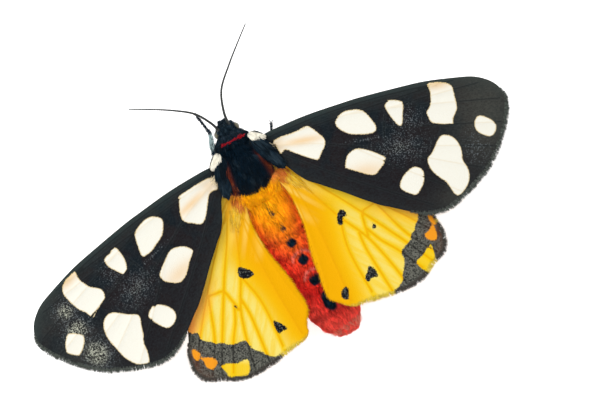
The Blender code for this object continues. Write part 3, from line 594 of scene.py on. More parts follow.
def forewing_paint():
    paint, place, tone = wing_paint("forewing_scales")
    vein = paint.field("vein")
    speckle = paint.field("speckle")
    edge = paint.math("ADD", paint.field("pale"), paint.ragged(place, 9.0, 3.0, 0.3))
    cloud = paint.step(paint.noise(place, 0.4), 0.36, 0.6)
    smoke = paint.math("ADD", 0.55, paint.times(tone, 0.45))
    _, chosen = paint.cells(place, 12.0)
    limit = paint.math("SUBTRACT", 1.0, paint.times(speckle, 0.65))
    dust = paint.step(paint.math("SUBTRACT", chosen, limit), -0.02, 0.25)
    dark = paint.layers(
        (13, 23, 30),
        (paint.math("MAXIMUM", cloud, paint.field("brown")), (30, 23, 25)),
        (paint.times(tone, 0.42), (50, 56, 60)),
        # Painted sheen: greenish grey along the margins, strongest towards the costa
        (paint.field("rim"), (60, 72, 70)),
        (paint.times(paint.field("smoke"), smoke), (72, 73, 68)),
        # Painted highlight: a lighter band along each raised vein, round its own dark middle below
        (paint.step(vein, 0.24, 0.1, 0.0, 0.18), (58, 66, 68)),
        (paint.step(vein, 0.1, 0.03, 0.0, 0.4), (8, 10, 12)),
        (paint.times(dust, paint.step(speckle, 0.0, 1.0, 0.3, 0.95)),
         paint.layers((122, 130, 134), (paint.step(speckle, 0.45, 0.8), (204, 206, 186)))))
    light = paint.layers(
        (255, 253, 241),
        (paint.field("warm"), (248, 206, 146)),
        (paint.times(tone, 0.1), (240, 224, 188)),
        (paint.step(vein, 0.12, 0.03, 0.0, 0.2), (238, 208, 150)),
        (paint.times(paint.field("under"), 0.45), (250, 205, 120)),
        (paint.step(edge, 0.14, 0.02, 0.0, 0.75), (226, 196, 124)))
    return paint.base(paint.layers(dark, (paint.step(edge, -0.025, 0.035), light)))


def hindwing_paint():
    paint, place, tone = wing_paint("hindwing_scales")
    vein = paint.field("vein")
    inner = paint.field("inner")
    edge = paint.math("ADD", paint.field("dark"), paint.ragged(place, 9.0, 3.0, 0.4))
    edge = paint.math("ADD", edge, paint.ragged(place, 4.5, 2.0, 0.15))
    streak = paint.noise(paint.stretch(place, (0.3, 2.4, 1)), 1.0, 3.0)
    pale = paint.times(paint.step(vein, 0.1, 0.5), paint.field("pale"))
    pale = paint.times(pale, paint.step(streak, 0.3, 0.6, 0.45, 1.0))
    root = paint.noise(paint.stretch(place, (0.06, 1.1, 1)), 1.0, 1.0)
    light = paint.layers(
        (255, 211, 16),
        (paint.times(pale, paint.step(inner, 2.6, 5.4)), (255, 236, 126)),
        (paint.step(inner, 4.8, 1.4), (252, 181, 0)),
        # Pale streaks at the root, their colour 1.2 times brighter: painted light against the shade of the
        # body there
        (paint.times(paint.step(root, 0.4, 0.7), paint.field("root")), 1.2 * colour(255, 232, 130)),
        # Painted light: 1.4 times a bright yellow over the strip beside the forewing, against the shadow
        # the forewing casts there
        (paint.field("beside"), 1.4 * colour(255, 214, 70)),
        (paint.step(vein, 0.14, 0.05, 0.0, 0.75), (248, 176, 0)),
        # Warm orange of the costa and the root, 1.3 times brighter: partly their own colour, partly
        # painted light against the shade there
        (paint.field("warm"), 1.3 * colour(255, 160, 76)),
        (paint.step(paint.field("orange"), -0.25, 0.0), (255, 162, 38)),
        (paint.times(paint.field("under"), 0.4), (250, 150, 60)),
        (paint.times(tone, 0.1), (250, 190, 10)))
    _, chosen = paint.cells(place, 9.0)
    inked = paint.layers((16, 18, 26), (paint.step(chosen, 0.6, 1.0), (100, 102, 96)))
    dark = paint.layers(
        (28, 30, 30),
        (chosen, (122, 122, 112)),
        (paint.step(vein, 0.16, 0.05, 0.0, 0.6), (20, 18, 18)),
        (paint.times(paint.field("brown"), 0.8), (100, 58, 42)),
        (paint.step(paint.field("free"), -0.2, 0.0), inked))
    return paint.base(paint.layers(light, (paint.step(edge, -0.03, 0.04), dark)))


def fur_paint():
    paint = Paint("fur", {"Roughness": 0.5, "Specular IOR Level": 0.06})
    return paint.base(paint.field("tint", "Color"))


def skin_paint():
    paint = Paint("skin", {"Roughness": 0.6, "Specular IOR Level": 0.05})
    grain = paint.noise(paint.field("local", "Vector"), 7.0, 3.0)
    paint.bump(grain, 0.00008, 0.8)
    return paint.base(paint.layers(paint.field("tint", "Color"),
                                   (paint.times(grain, 0.5), (10, 9, 10))))


def eye_paint():
    paint = Paint("eye", {"Roughness": 0.18, "Coat Weight": 0.6, "Coat Roughness": 0.08})
    place = paint.field("local", "Vector")
    height, tone = paint.cells(place, 11.0)
    paint.bump(height, 0.00002, 0.5)
    cloud = paint.step(paint.noise(place, 1.6), 0.35, 0.65)
    return paint.base(paint.layers((62, 59, 40), (cloud, (118, 113, 80)),
                                   (paint.times(tone, 0.25), (40, 34, 28))))


def shell_paint():
    paint = Paint("shell", {"Roughness": 0.42, "Specular IOR Level": 0.4})
    grain = paint.noise(paint.field("local", "Vector"), 9.0)
    paint.bump(grain, 0.00002, 0.6)
    return paint.base(paint.layers((16, 20, 20), (paint.step(grain, 0.4, 0.7), (48, 54, 52))))


def floor_paint():
    paint = Paint("floor", {"Roughness": 0.8, "Specular IOR Level": 0.1,
                            "Emission Color": (1, 1, 1, 1), "Emission Strength": FLOOR_GLOW})
    grain = paint.noise(paint.add("TexCoord", {}, "Object"), 60.0, 3.0)
    return paint.base(paint.layers(np.full(3, FLOOR_SHADES[0]), (grain, np.full(3, FLOOR_SHADES[1]))))


def add_object(name, data):
    made = bpy.data.objects.new(name, data)
    bpy.context.scene.collection.objects.link(made)
    return made


def add_piece(name, mesh, material, nodes=()):
    piece = add_object(name, mesh)
    mesh.materials.append(material)
    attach(piece, ROOT)
    if nodes:
        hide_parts(*nodes)


def set_field(mesh, name, values):
    """Stores a number or a vector for each vertex."""
    single = values.ndim == 1
    made = mesh.attributes.new(name, "FLOAT" if single else "FLOAT_VECTOR", "POINT")
    made.data.foreach_set("value" if single else "vector", values.ravel())


def set_tint(mesh, colours):
    made = mesh.color_attributes.new("tint", "FLOAT_COLOR", "POINT")
    made.data.foreach_set("color", np.insert(colours, 3, 1.0, axis=1).ravel())


def mesh_of(shape, name):
    """A bmesh as a mesh, its faces turned outwards."""
    bmesh.ops.recalc_face_normals(shape, faces=shape.faces)
    mesh = bpy.data.meshes.new(name)
    shape.to_mesh(mesh)
    shape.free()
    return mesh


def loft_mesh(name, forms):
    """The closed lofts of forms, each with its number of sides, in millimetres."""
    shape = bmesh.new()
    for form, sides in forms:
        form.add_to(shape, sides)
    return mesh_of(shape, name)


def to_metres(mesh):
    """Takes a mesh from millimetres to metres, and keeps the places as a field."""
    places = np.empty(len(mesh.vertices) * 3)
    mesh.vertices.foreach_get("co", places)
    places = places.reshape(-1, 3)
    places[:, 2] = np.maximum(places[:, 2], SKIN_FLOOR)
    set_field(mesh, "local", places)
    mesh.vertices.foreach_set("co", (places * MM).ravel())
    mesh.update()
    mesh.shade_smooth()
    return places


def wing_height(out, forward):
    """Height of the forewings' middle surface, as in the part's source."""
    reach = out / WING_REACH
    arch = WING_ARCH * np.sin(np.pi * np.clip(reach, 0.0, 1.0))
    away = (out - ROOT_DIP_AT[0]) ** 2 + (forward - ROOT_DIP_AT[1]) ** 2
    dip = ROOT_DIP * np.exp(-away / ROOT_DIP_SPREAD ** 2)
    return WING_LEVEL + arch - WING_DROOP * np.abs(reach) ** 3 - dip


def over_wing(side, out, forward, lift):
    """Frame places above the forewings' middle surface."""
    return to_row(np.stack([SIDES[side] * out, forward, wing_height(out, forward) + lift], axis=1))


class Wing:
    """One wing: its plan, its two faces and what its markings depend on."""

    def __init__(self, side, hinge, sweep, drop, outline, veins):
        self.side = side
        self.hinge = hinge
        self.turn = math.radians(sweep)
        self.drop = drop
        self.outline = smooth_route(outline, 4, closed=True)
        self.closed = np.vstack([self.outline, self.outline[:1]])
        self.veins = [smooth_route(vein, 5) for vein in veins]
        steps = np.linalg.norm(np.diff(self.closed, axis=0), axis=1)
        self.run = np.concatenate([[0.0], np.cumsum(steps)])

    def on_margin(self, walked):
        """Plan spots on the outline after so many millimetres of it."""
        walked = np.mod(walked, self.run[-1])
        return np.stack([np.interp(walked, self.run, line) for line in self.closed.T], axis=1)

    def ends(self, stretch):
        """How far along the outline a stretch of it starts and ends."""
        return [self.run[np.argmin(np.linalg.norm(self.outline - spot, axis=1))]
                for spot in stretch]

    def ramp(self, walked, stretch):
        """1 along a stretch of the margin, falling to 0 at its ends."""
        first, last = self.ends(stretch)
        return np.clip(np.minimum(walked - first, last - walked) / FRINGE_RAMP, 0.0, 1.0)

    def outward(self, walked):
        along = unit(self.on_margin(walked + 0.3) - self.on_margin(walked - 0.3))
        outward = np.stack([-along[:, 1], along[:, 0]], axis=1)
        outward[is_inside(self.on_margin(walked) + outward * 0.1, self.outline)] *= -1
        return outward, along

    def membrane_edge(self, stretch):
        """The outline, drawn in where a fringe hangs over the edge."""
        walked = self.run[:-1]
        inset = FRINGE_INSET * self.ramp(walked, stretch)
        return self.outline - self.outward(walked)[0] * inset[:, None]

    def plan(self, spots):
        x, y = np.asarray(spots, float).T
        out = self.hinge[0] + x * math.cos(self.turn) + y * math.sin(self.turn)
        forward = self.hinge[1] - x * math.sin(self.turn) + y * math.cos(self.turn)
        return out, forward

    def vein_distance(self, spots):
        return np.min([line_distance(spots, vein) for vein in self.veins], axis=0)

    def face(self, spots, up):
        """Frame places on the upper (up 1) or lower (up -1) face."""
        away = self.vein_distance(spots)
        sag = CELL_SAG * (1.0 - np.exp(-(away / CELL_REACH) ** 2))
        half = MEMBRANE_HALF + VEIN_RISE * fade(away, VEIN_REACH, 0.0)
        return over_wing(self.side, *self.plan(spots), up * half - sag - self.drop)

    def triangles(self, stretch):
        """The membrane's plan, split along the veins: its spots and faces."""
        inner = self.membrane_edge(stretch)
        points = list(inner)
        edges = [(i, (i + 1) % len(inner)) for i in range(len(inner))]
        for vein in self.veins:
            kept = vein[signed_distance(vein, inner) > 0.1]
            edges += [(len(points) + i, len(points) + i + 1) for i in range(len(kept) - 1)]
            points += list(kept)
        low, high = inner.min(axis=0), inner.max(axis=0)
        grid = []
        for index, y in enumerate(np.arange(low[1], high[1], WING_GRID * GRID_ROWS)):
            xs = np.arange(low[0] + (index % 2) * WING_GRID / 2, high[0], WING_GRID)
            grid.append(np.stack([xs, np.full_like(xs, y)], axis=1))
        grid = np.vstack(grid)
        grid = grid[signed_distance(grid, inner) > WING_GRID * GRID_OFF_RIM]
        points += list(grid[self.vein_distance(grid) > WING_GRID * GRID_OFF_VEIN])
        spots, _, faces, *_ = delaunay_2d_cdt([Vector(spot) for spot in points], edges, [], 1, 0.004)
        return np.array([tuple(spot) for spot in spots]), faces

    def mesh(self, name, stretch, fields):
        """Both faces of the membrane, joined round the rim, with its fields and bake places."""
        spots, faces = self.triangles(stretch)
        count = len(spots)
        rim = {}
        for face in faces:
            for a, b in zip(face, face[1:] + face[:1]):
                key = frozenset((a, b))
                rim[key] = None if key in rim else (a, b)
        every = [tuple(face) for face in faces]
        every += [tuple(count + i for i in reversed(face)) for face in faces]
        every += [(b, a, count + a, count + b) for a, b in filter(None, rim.values())]
        places = np.vstack([self.face(spots, 1), self.face(spots, -1)]) * MM
        rough = bpy.data.meshes.new("rough_wing")
        rough.from_pydata(places.tolist(), [], every)
        shape = bmesh.new()
        shape.from_mesh(rough)
        bpy.data.meshes.remove(rough)
        mesh = mesh_of(shape, name)
        mesh.shade_smooth()

        for field, values in (fields(spots) | {"vein": self.vein_distance(spots)}).items():
            set_field(mesh, field, np.concatenate([values, values]))
        flat = np.insert(spots, 2, 0.0, axis=1)
        set_field(mesh, "local", np.vstack([flat, flat + (0.0, 0.0, 3.0)]))
        set_field(mesh, "under", np.repeat([0.0, 1.0], count))
        plan = (spots - spots.min(axis=0)) / (np.ptp(spots[:, 0]) * 1.04) + (0.02, 0.01)
        both = np.vstack([plan * (1.0, 0.9), plan * (1.0, 0.9) + (0.0, 0.5)])
        corners = np.empty(len(mesh.loops), int)
        mesh.loops.foreach_get("vertex_index", corners)
        mesh.uv_layers.new(name="OFBake").data.foreach_set("uv", both[corners].ravel())
        return mesh


class Form:
    """A part of the body as rings along a line, in frame millimetres."""

    def __init__(self, middles, across, up, widths, heights, cell=(0, 0, 1, 1)):
        self.tables = [np.asarray(table, float) for table in (middles, across, up, widths, heights)]
        self.last = len(middles) - 1
        self.cell = cell

    def between(self, table, s):
        s = np.clip(s, 0.0, self.last - 1e-6)
        low = s.astype(int)
        share = (s - low)[:, None] if table.ndim > 1 else s - low
        return table[low] * (1.0 - share) + table[low + 1] * share

    def place(self, s, angle):
        middle, across, up, width, height = (self.between(table, s) for table in self.tables)
        return (middle + across * (width * np.cos(angle))[:, None]
                + up * (height * np.sin(angle))[:, None])

    def slopes(self, s, angle):
        """How a place moves with the station and with the angle."""
        small = 0.02
        along = (self.place(s + small, angle) - self.place(s - small, angle)) / (2 * small)
        around = (self.place(s, angle + small) - self.place(s, angle - small)) / (2 * small)
        return along, around

    def normal(self, s, angle):
        facing = unit(np.cross(*self.slopes(s, angle)))
        outwards = self.place(s, angle) - self.between(self.tables[0], s)
        return facing * np.where(np.sum(facing * outwards, axis=1) < 0, -1.0, 1.0)[:, None]

    def scatter(self, count, rng, low, high):
        """Stations and angles spread evenly over the surface between two stations."""
        tries = count * 6
        s = rng.uniform(low, high, tries)
        angle = rng.uniform(0.0, math.tau, tries)
        area = np.linalg.norm(np.cross(*self.slopes(s, angle)), axis=1)
        chosen = np.flatnonzero(rng.uniform(0.0, np.quantile(area, 0.98), tries) < area)[:count]
        return s[chosen], angle[chosen]

    def add_to(self, shape, sides):
        """The closed loft of the rings, added to a bmesh in millimetres."""
        angles = np.arange(sides) * math.tau / sides
        rows = [[shape.verts.new(place) for place in self.place(np.full(sides, s), angles)]
                for s in np.arange(self.last + 1.0)]
        for row, following in zip(rows, rows[1:]):
            for i in range(sides):
                j = (i + 1) % sides
                shape.faces.new((row[i], row[j], following[j], following[i]))
        shape.faces.new(rows[0])
        shape.faces.new(rows[-1])


def ellipsoid_form(place, radii):
    """An ellipsoid whose rings run from its front to its back."""
    polar = np.linspace(0.02, math.pi - 0.02, 25)
    middles = place + np.outer(np.cos(polar), (0.0, radii[1], 0.0))
    across, up = (np.tile(way, (len(polar), 1)) for way in ((1, 0, 0), (0, 0, 1)))
    return Form(to_row(middles), across, up, radii[0] * np.sin(polar), radii[2] * np.sin(polar))


def route_form(route, widths, heights, cell=(0, 0, 1, 1)):
    """Rings square to a route of frame places, kept level across."""
    tangents = unit(np.gradient(route, axis=0))
    across = np.cross((0.0, 0.0, 1.0), tangents)
    across[np.linalg.norm(across, axis=1) < 0.05] = (1.0, 0.0, 0.0)
    across = unit(across)
    return Form(route, across, unit(np.cross(tangents, across)), widths, heights, cell)


def abdomen_form():
    line = smooth_route(ABDOMEN_LINE, 14)
    widths = line[:, 3].copy()
    for fold in ABDOMEN_FOLDS:
        widths -= FOLD_DEPTH * np.exp(-((line[:, 1] - fold) / FOLD_WIDTH) ** 2)
    return route_form(to_row(line[:, :3]), widths, widths * ABDOMEN_FLATNESS)


def tegula_form(side):
    turn = math.radians(TEGULA_TURN[side])
    polar = np.linspace(0.03, math.pi - 0.03, 25)
    y = TEGULA_HALF_LENGTH * np.cos(polar)
    route = over_wing(side, TEGULA_AT[side][0] - y * math.sin(turn),
                      TEGULA_AT[side][1] + y * math.cos(turn), TEGULA_LIFT)
    taper = np.sin(polar) * (1.0 - TEGULA_TAPER * (polar / math.pi) ** 1.5)
    cell = (0.0 if side == "left" else 0.5, 0.0, 0.5, 1.0)
    return route_form(route, TEGULA_HALF_WIDTH * taper, TEGULA_HALF_HEIGHT * taper, cell)


def patch_form(side):
    """The swelling under a cream shoulder patch, its rings running outwards."""
    start, end = np.array(PATCH_ENDS[side])
    polar = np.linspace(0.05, math.pi - 0.05, 15)
    share = (1.0 - np.cos(polar)) / 2
    out, forward = (start + np.outer(share, end - start)).T
    route = over_wing(side, out, forward, PATCH_LIFT - PATCH_FALL * share)
    return route_form(route, PATCH_HALF_WIDTH * np.sin(polar), PATCH_HEIGHT * np.sin(polar))


def leg_form(name, index):
    """Coxa, femur, tibia and the five joints of the foot along one route."""
    line = smooth_route(LEG_LINES[name], LEG_STEPS)
    t = np.arange(len(line)) / LEG_STEPS
    swell = np.sin(np.pi * (t % 1.0))
    radii = np.select([t < 1, t < 2, t < 3, t < 4],
                      [0.42 + 0.03 * swell, 0.22 + 0.13 * swell, 0.15 + 0.05 * swell,
                       0.13 + 0.02 * swell],
                      0.13 - 0.035 * np.abs(np.cos(4 * np.pi * t)) ** 4)
    return route_form(to_row(line), radii, radii, (index / 6, 0.0, 1 / 6, 1.0))


def palp_form(side):
    line = [(HEAD_MIDDLE + SIDES[side] * out, forward, height) for out, forward, height in PALP_LINE]
    route = smooth_route(line, 6)
    radii = PALP_RADIUS * (1.0 - 0.5 * np.linspace(0.0, 1.0, len(route)) ** 2)
    return route_form(to_row(route), radii, radii)


# Colours of the body
BLACK = colour(9, 31, 46)
# Blue grey is painted sheen on black hair: whole tufts of it, and its share in the tegulae's and the
# head's black
BLUE_GREY_SHEEN = colour(48, 66, 78)
TEGULA_BLACK = BLACK * 0.78 + BLUE_GREY_SHEEN * 0.22
HEAD_BLACK = BLACK * 0.7 + BLUE_GREY_SHEEN * 0.3
RUST = colour(150, 66, 40)
FLUFF = colour(240, 138, 84)
GOLD = colour(252, 176, 10)
CRIMSON = colour(206, 24, 40)
CREAM = colour(255, 250, 234)
SHIN = colour(160, 182, 184)
TAIL_PINK = colour(246, 140, 118)
FOLD_SHADE_RED = colour(150, 20, 22)
# Painted shade for the abdomen's creases
ARC_PINK = colour(232, 140, 126)
ABDOMEN_STOPS = (0.0, 0.24, 0.4, 0.54, 0.74, 1.0)
ABDOMEN_COLOURS = np.array([
    colour(253, 184, 8), colour(250, 160, 14), colour(248, 112, 34), colour(244, 70, 42),
    colour(232, 44, 38), colour(236, 76, 64),
])


def abdomen_axis(forward):
    """The abdomen's middle and half width at each place along it."""
    line = np.array(ABDOMEN_LINE)[::-1]
    return [np.interp(forward, line[:, 1], line[:, i]) for i in (0, 3)]


def spot_share(places):
    """1 on the black spots along the back, fading over a short edge."""
    share = np.zeros(len(places))
    for lateral, forward, half_width, half_length in BACK_SPOTS:
        aside, along = places[:, 0] - lateral, places[:, 1] - forward
        wobble = 1.0 + 0.14 * np.sin(4.0 * np.arctan2(along, aside) + 3.0 * forward)
        away = ((aside / half_width) ** 2 + (along / half_length) ** 2) * wobble
        share = np.maximum(share, fade(away, 1.3, 0.9))
    return share * (places[:, 2] > 4.0)


def abdomen_colour(places):
    middle, half = abdomen_axis(places[:, 1])
    flank = np.abs(places[:, 0] - middle) / half
    below = fade(places[:, 2], 4.2, 2.7)
    reach = (ABDOMEN_FRONT - places[:, 1]) / ABDOMEN_REACH + 0.22 * flank ** 2 + 0.35 * below
    made = np.stack([np.interp(reach, ABDOMEN_STOPS, line) for line in ABDOMEN_COLOURS.T], axis=1)
    # Painted shade: darker red in the creases between the segments, most on the flanks
    for fold in ABDOMEN_FOLDS[2:]:
        near = np.exp(-((places[:, 1] - fold) / 0.32) ** 2)
        made = blend(made, FOLD_SHADE_RED, near * (0.2 + 0.6 * np.clip(flank, 0, 1)))
    for lateral, forward, radius in ABDOMEN_ARCS:
        aside, along = places[:, 0] - lateral, places[:, 1] - forward
        near = np.exp(-((np.hypot(aside, along) - radius) / 0.12) ** 2)
        near *= (places[:, 2] > 5.0) & (along > 0.35 * np.abs(aside))
        made = blend(made, ARC_PINK, 0.75 * near)
    return blend(made, BLACK, spot_share(places))


def strip_share(places):
    """1 along the rusty strip beside the back, on both sides."""
    aside = np.abs(places[:, 0] - 0.05)
    strip_at = 1.95 + 0.12 * np.clip(0.8 - places[:, 1], 0.0, 2.6)
    run = fade(places[:, 1], 1.9, 0.7)
    high = fade(places[:, 2], 6.0, 6.8)
    return np.exp(-((aside - strip_at) / 0.26) ** 2) * run * high


def thorax_colour(places):
    return blend(BLACK, RUST, 0.8 * strip_share(places))


def strip_colour(places):
    return blend(RUST, FLUFF, (0.1 - places[:, 1]) / 1.2)


def patch_colour(side):
    """Cream with a thin black front edge, and black below, for one side's shoulder patch."""
    start, end = np.array(PATCH_ENDS[side])
    way = unit(end - start)

    def tint(places):
        spots = np.column_stack([np.abs(places[:, 0]), places[:, 1]])
        share = (spots - start) @ way / np.linalg.norm(end - start)
        ahead = (spots - start) @ np.array([-way[1], way[0]]) - PATCH_HALF_WIDTH
        level = wing_height(*spots.T) + PATCH_LIFT - PATCH_FALL * share
        return blend(CREAM, BLACK, np.maximum(ahead, level - 0.1 - places[:, 2]) / 0.08)
    return tint


def waist_colour(places):
    """Gold over the abdomen's front, orange-pink fluff towards the wing roots."""
    share = np.clip((np.abs(places[:, 0] - WAIST_MIDDLE) - 1.5) / 0.6, 0.0, 0.75)
    return blend(GOLD, FLUFF, share * fade(places[:, 1], -2.9, -2.0))


def leg_colour(form):
    """Black with a grey-blue shin, for one leg."""
    line = to_body(form.tables[0])

    def tint(places):
        away = np.linalg.norm(places[:, None, :] - line[None], axis=2)
        t = np.argmin(away, axis=1) / LEG_STEPS
        shin = fade(t, 2.05, 2.25) * fade(t, 3.1, 2.9)
        return blend(BLACK, SHIN, shin)
    return tint


def skin_colour(places):
    middle, half = abdomen_axis(places[:, 1])
    behind = fade(places[:, 1], -2.1, -2.5)
    within = fade(np.abs(places[:, 0] - middle) - half, 0.35, 0.2)
    return blend(thorax_colour(places), abdomen_colour(places), behind * within)


def grow(form, count, seed, length, width, lift, tint, keep=None, low=0.0, high=1.0,
         spread=0.28, lean=0.0, straight=0.25, clump=0.55, backwards=1.0, shade=1.0,
         vary=0.25):
    """Tufts that leave a form's surface and lie along it, from front to back.

    length, width and lift are in millimetres, keep gives each root's chance, lean turns the
    tufts to the side, straight lets them leave the curve of the body, and clump draws them
    together into locks, whose tones vary by as much as single tufts do.
    """
    rng = np.random.default_rng(SEED + seed)
    s, angle = form.scatter(count, rng, low * form.last, high * form.last)
    body = to_body(form.place(s, angle))
    if keep is not None:
        kept = rng.uniform(size=len(s)) < keep(body)
        s, angle, body = s[kept], angle[kept], body[kept]
    number = len(s)
    roots = form.place(s, angle)
    along, around = form.slopes(s, angle)
    speed_along = np.maximum(np.linalg.norm(along, axis=1), 0.02)
    speed_around = np.maximum(np.linalg.norm(around, axis=1), 0.15)
    lengths = read(length, body) * rng.uniform(0.7, 1.15, number)
    turns = rng.normal(0.0, spread, number) + read(lean, body)
    ways = unit(along) * np.cos(turns)[:, None] + unit(around) * np.sin(turns)[:, None]
    lifts = lift * rng.uniform(0.5, 1.3, number)
    spine = []
    for share, rise in zip(TUFT_SHARES, TUFT_RISES):
        walked = lengths * share * backwards
        here = (s + walked * np.cos(turns) / speed_along,
                angle + walked * np.sin(turns) / speed_around)
        free = roots + ways * walked[:, None]
        spine.append(form.place(*here) * (1.0 - straight) + free * straight
                     + form.normal(*here) * (lifts * rise)[:, None])
    spine = np.stack(spine, axis=1)
    tones = rng.uniform(1.0 - vary, 1.0 + vary, number) * shade
    if clump:
        spine, nearest = clumped(spine, rng, clump)
        tones *= rng.uniform(1.0 - vary, 1.0 + vary, number)[nearest]
    spine[:, :, 2] = np.maximum(spine[:, :, 2], TUFT_FLOOR)
    seen = np.broadcast_to(read(tint, to_body(spine.reshape(-1, 3))), (number * 4, 3))
    tints = seen.reshape(number, 4, 3) * tones[:, None, None] * TUFT_SHADES[:, None]
    u0, v0, du, dv = form.cell
    patch = np.stack([u0 + du * (0.02 + 0.96 * (angle % math.tau) / math.tau),
                      v0 + dv * (0.02 + 0.96 * s / form.last)], axis=1)
    return spine, form.normal(s, angle), width * rng.uniform(0.75, 1.25, number), tints, patch


def clumped(spine, rng, strength):
    """Draws each tuft's outer part towards that of the nearest leader."""
    leaders = rng.choice(len(spine), max(len(spine) // LOCK_TUFTS, 1), replace=False)
    tree = KDTree(len(leaders))
    for index in leaders:
        tree.insert(spine[index, 0], index)
    tree.balance()
    nearest = np.array([tree.find(root)[1] for root in spine[:, 0]])
    pull = (strength * TUFT_SHARES ** 1.5)[:, None]
    return spine * (1.0 - pull) + spine[nearest] * pull, nearest


def claws(legs):
    """Two curved claws at the end of each foot."""
    spine, patches = [], []
    for form in legs:
        toe, before = form.tables[0][[-1, -4]]
        ahead = CLAW_LENGTH * unit(toe - before)
        aside = np.cross(unit(ahead), (0.0, 0.0, 1.0))
        for way in (-1, 1):
            spine.append([toe + ahead * share + aside * (way * splay) + (0, 0, rise)
                          for share, splay, rise in CLAW_BENDS])
            patches.append((form.cell[0] + form.cell[2] / 2, 0.99))
    count = len(spine)
    return (np.array(spine), np.tile(UPWARDS, (count, 1)), np.full(count, CLAW_WIDTH),
            np.tile(BLACK, (count, 4, 1)), np.array(patches))


def tuft_faces():
    """Triangles of one tuft: three rings of three corners, then its tip."""
    faces = [(2, 1, 0)]
    for ring in (0, 3):
        for i in range(3):
            j = (i + 1) % 3
            faces += [(ring + i, ring + j, ring + 3 + j), (ring + i, ring + 3 + j, ring + 3 + i)]
    return np.array(faces + [(6 + i, 6 + (i + 1) % 3, 9) for i in range(3)])


def tuft_mesh(name, batches):
    """One mesh of solid three-sided tufts, from batches such as those of grow."""
    spine, normals, widths, tints, patches = (np.concatenate(part) for part in zip(*batches))
    tangents = unit(spine[:, [1, 2, 3]] - spine[:, [0, 0, 1]])
    side = unit(np.cross(tangents, normals[:, None]))
    rise = unit(np.cross(side, tangents)) * TUFT_RIDGE
    girths = widths[:, None, None] * TUFT_GIRTHS[:, None] / 2
    corners = spine[:, :3, None] + np.stack([side, rise, -side], axis=2) * girths[:, :, None]
    count = len(spine)
    places = np.concatenate([corners.reshape(count, 9, 3), spine[:, 3:]], axis=1) * MM
    faces = tuft_faces()
    a, b, c = (places[0][faces[:, i]] for i in range(3))
    if np.sum(a * np.cross(b, c)) < 0:
        faces = faces[:, ::-1]
    loops = (faces[None] + np.arange(count)[:, None, None] * 10).reshape(-1)

    mesh = bpy.data.meshes.new(name)
    mesh.vertices.add(count * 10)
    mesh.vertices.foreach_set("co", places.ravel())
    mesh.loops.add(len(loops))
    mesh.loops.foreach_set("vertex_index", loops)
    mesh.polygons.add(len(loops) // 3)
    mesh.polygons.foreach_set("loop_start", np.arange(0, len(loops), 3))
    mesh.update(calc_edges=True)
    mesh.shade_smooth()
    set_tint(mesh, tints[:, [0, 0, 0, 1, 1, 1, 2, 2, 2, 3]].reshape(-1, 3))
    offsets = [((corner / 2 - 0.5) * TUFT_PATCH, (ring / 3 - 0.5) * TUFT_PATCH)
               for ring in range(3) for corner in range(3)] + [(0.0, TUFT_PATCH / 2)]
    flat = (patches[:, None] + np.array(offsets)).reshape(-1, 2)
    mesh.uv_layers.new(name="OFBake").data.foreach_set("uv", flat[loops].ravel())
    return mesh


def skin_mesh(forms):
    """All flesh remeshed into one closed surface, in metres."""
    rough = loft_mesh("rough_skin", forms)
    carrier = add_object("rough_skin", rough)
    remesh = carrier.modifiers.new("voxels", "REMESH")
    remesh.mode = "VOXEL"
    remesh.voxel_size = SKIN_VOXEL
    smooth = carrier.modifiers.new("smooth", "SMOOTH")
    smooth.iterations = SKIN_SMOOTHING
    bpy.context.view_layer.update()
    seen = carrier.evaluated_get(bpy.context.evaluated_depsgraph_get())
    mesh = bpy.data.meshes.new_from_object(seen)
    bpy.data.objects.remove(carrier)
    bpy.data.meshes.remove(rough)
    set_tint(mesh, skin_colour(to_body(to_metres(mesh))))
    return mesh


def wing_tufts(spots, spine, normal, widths, tints, start):
    """A batch of tufts on a wing, whose bake places start at a share of the square's width."""
    patch = (0.04 + 0.92 * (spots - BAKE_FROM) / BAKE_SPAN) * (0.5, 1.0) + (start, 0.0)
    return spine, np.tile(normal, (len(spots), 1)), widths, tints, patch


def repeated(tint, spots, tones):
    """One colour a tuft, the same along its length."""
    seen = np.broadcast_to(read(tint, spots), (len(spots), 3))
    return np.repeat(seen[:, None], 4, axis=1) * tones[:, None, None]


def wing_fringe(wing, seed, stretch, length, width, spacing, tint, start, slant=0.0, vary=0.25):
    """Hair scales along a stretch of a wing's margin, as a batch of tufts."""
    rng = np.random.default_rng(SEED + seed)
    first, last = wing.ends(stretch)
    count = int((last - first) / spacing)
    walked = rng.uniform(first, last, count)
    spots = wing.on_margin(walked)
    outward, along = wing.outward(walked)
    outward = unit(outward + along * (rng.normal(slant, 0.16, count))[:, None])
    ramp = wing.ramp(walked, stretch)
    lengths = length * rng.uniform(0.55, 1.3, count) * (0.45 + 0.55 * ramp)
    base = spots - outward * (FRINGE_INSET * ramp + 0.16)[:, None]
    lifts = rng.uniform(-0.06, 0.06, count)
    spine = []
    for share in TUFT_SHARES:
        here = base + outward * (lengths * share)[:, None]
        middle = (wing.face(here, 1) + wing.face(here, -1)) / 2
        middle[:, 2] += lifts * (1.0 - 0.4 * share)
        spine.append(middle)
    tints = repeated(tint, spots, rng.uniform(1.0 - vary, 1.0 + vary, count))
    widths = width * rng.uniform(0.7, 1.2, count)
    return wing_tufts(spots, np.stack(spine, axis=1), UPWARDS, widths, tints, start)


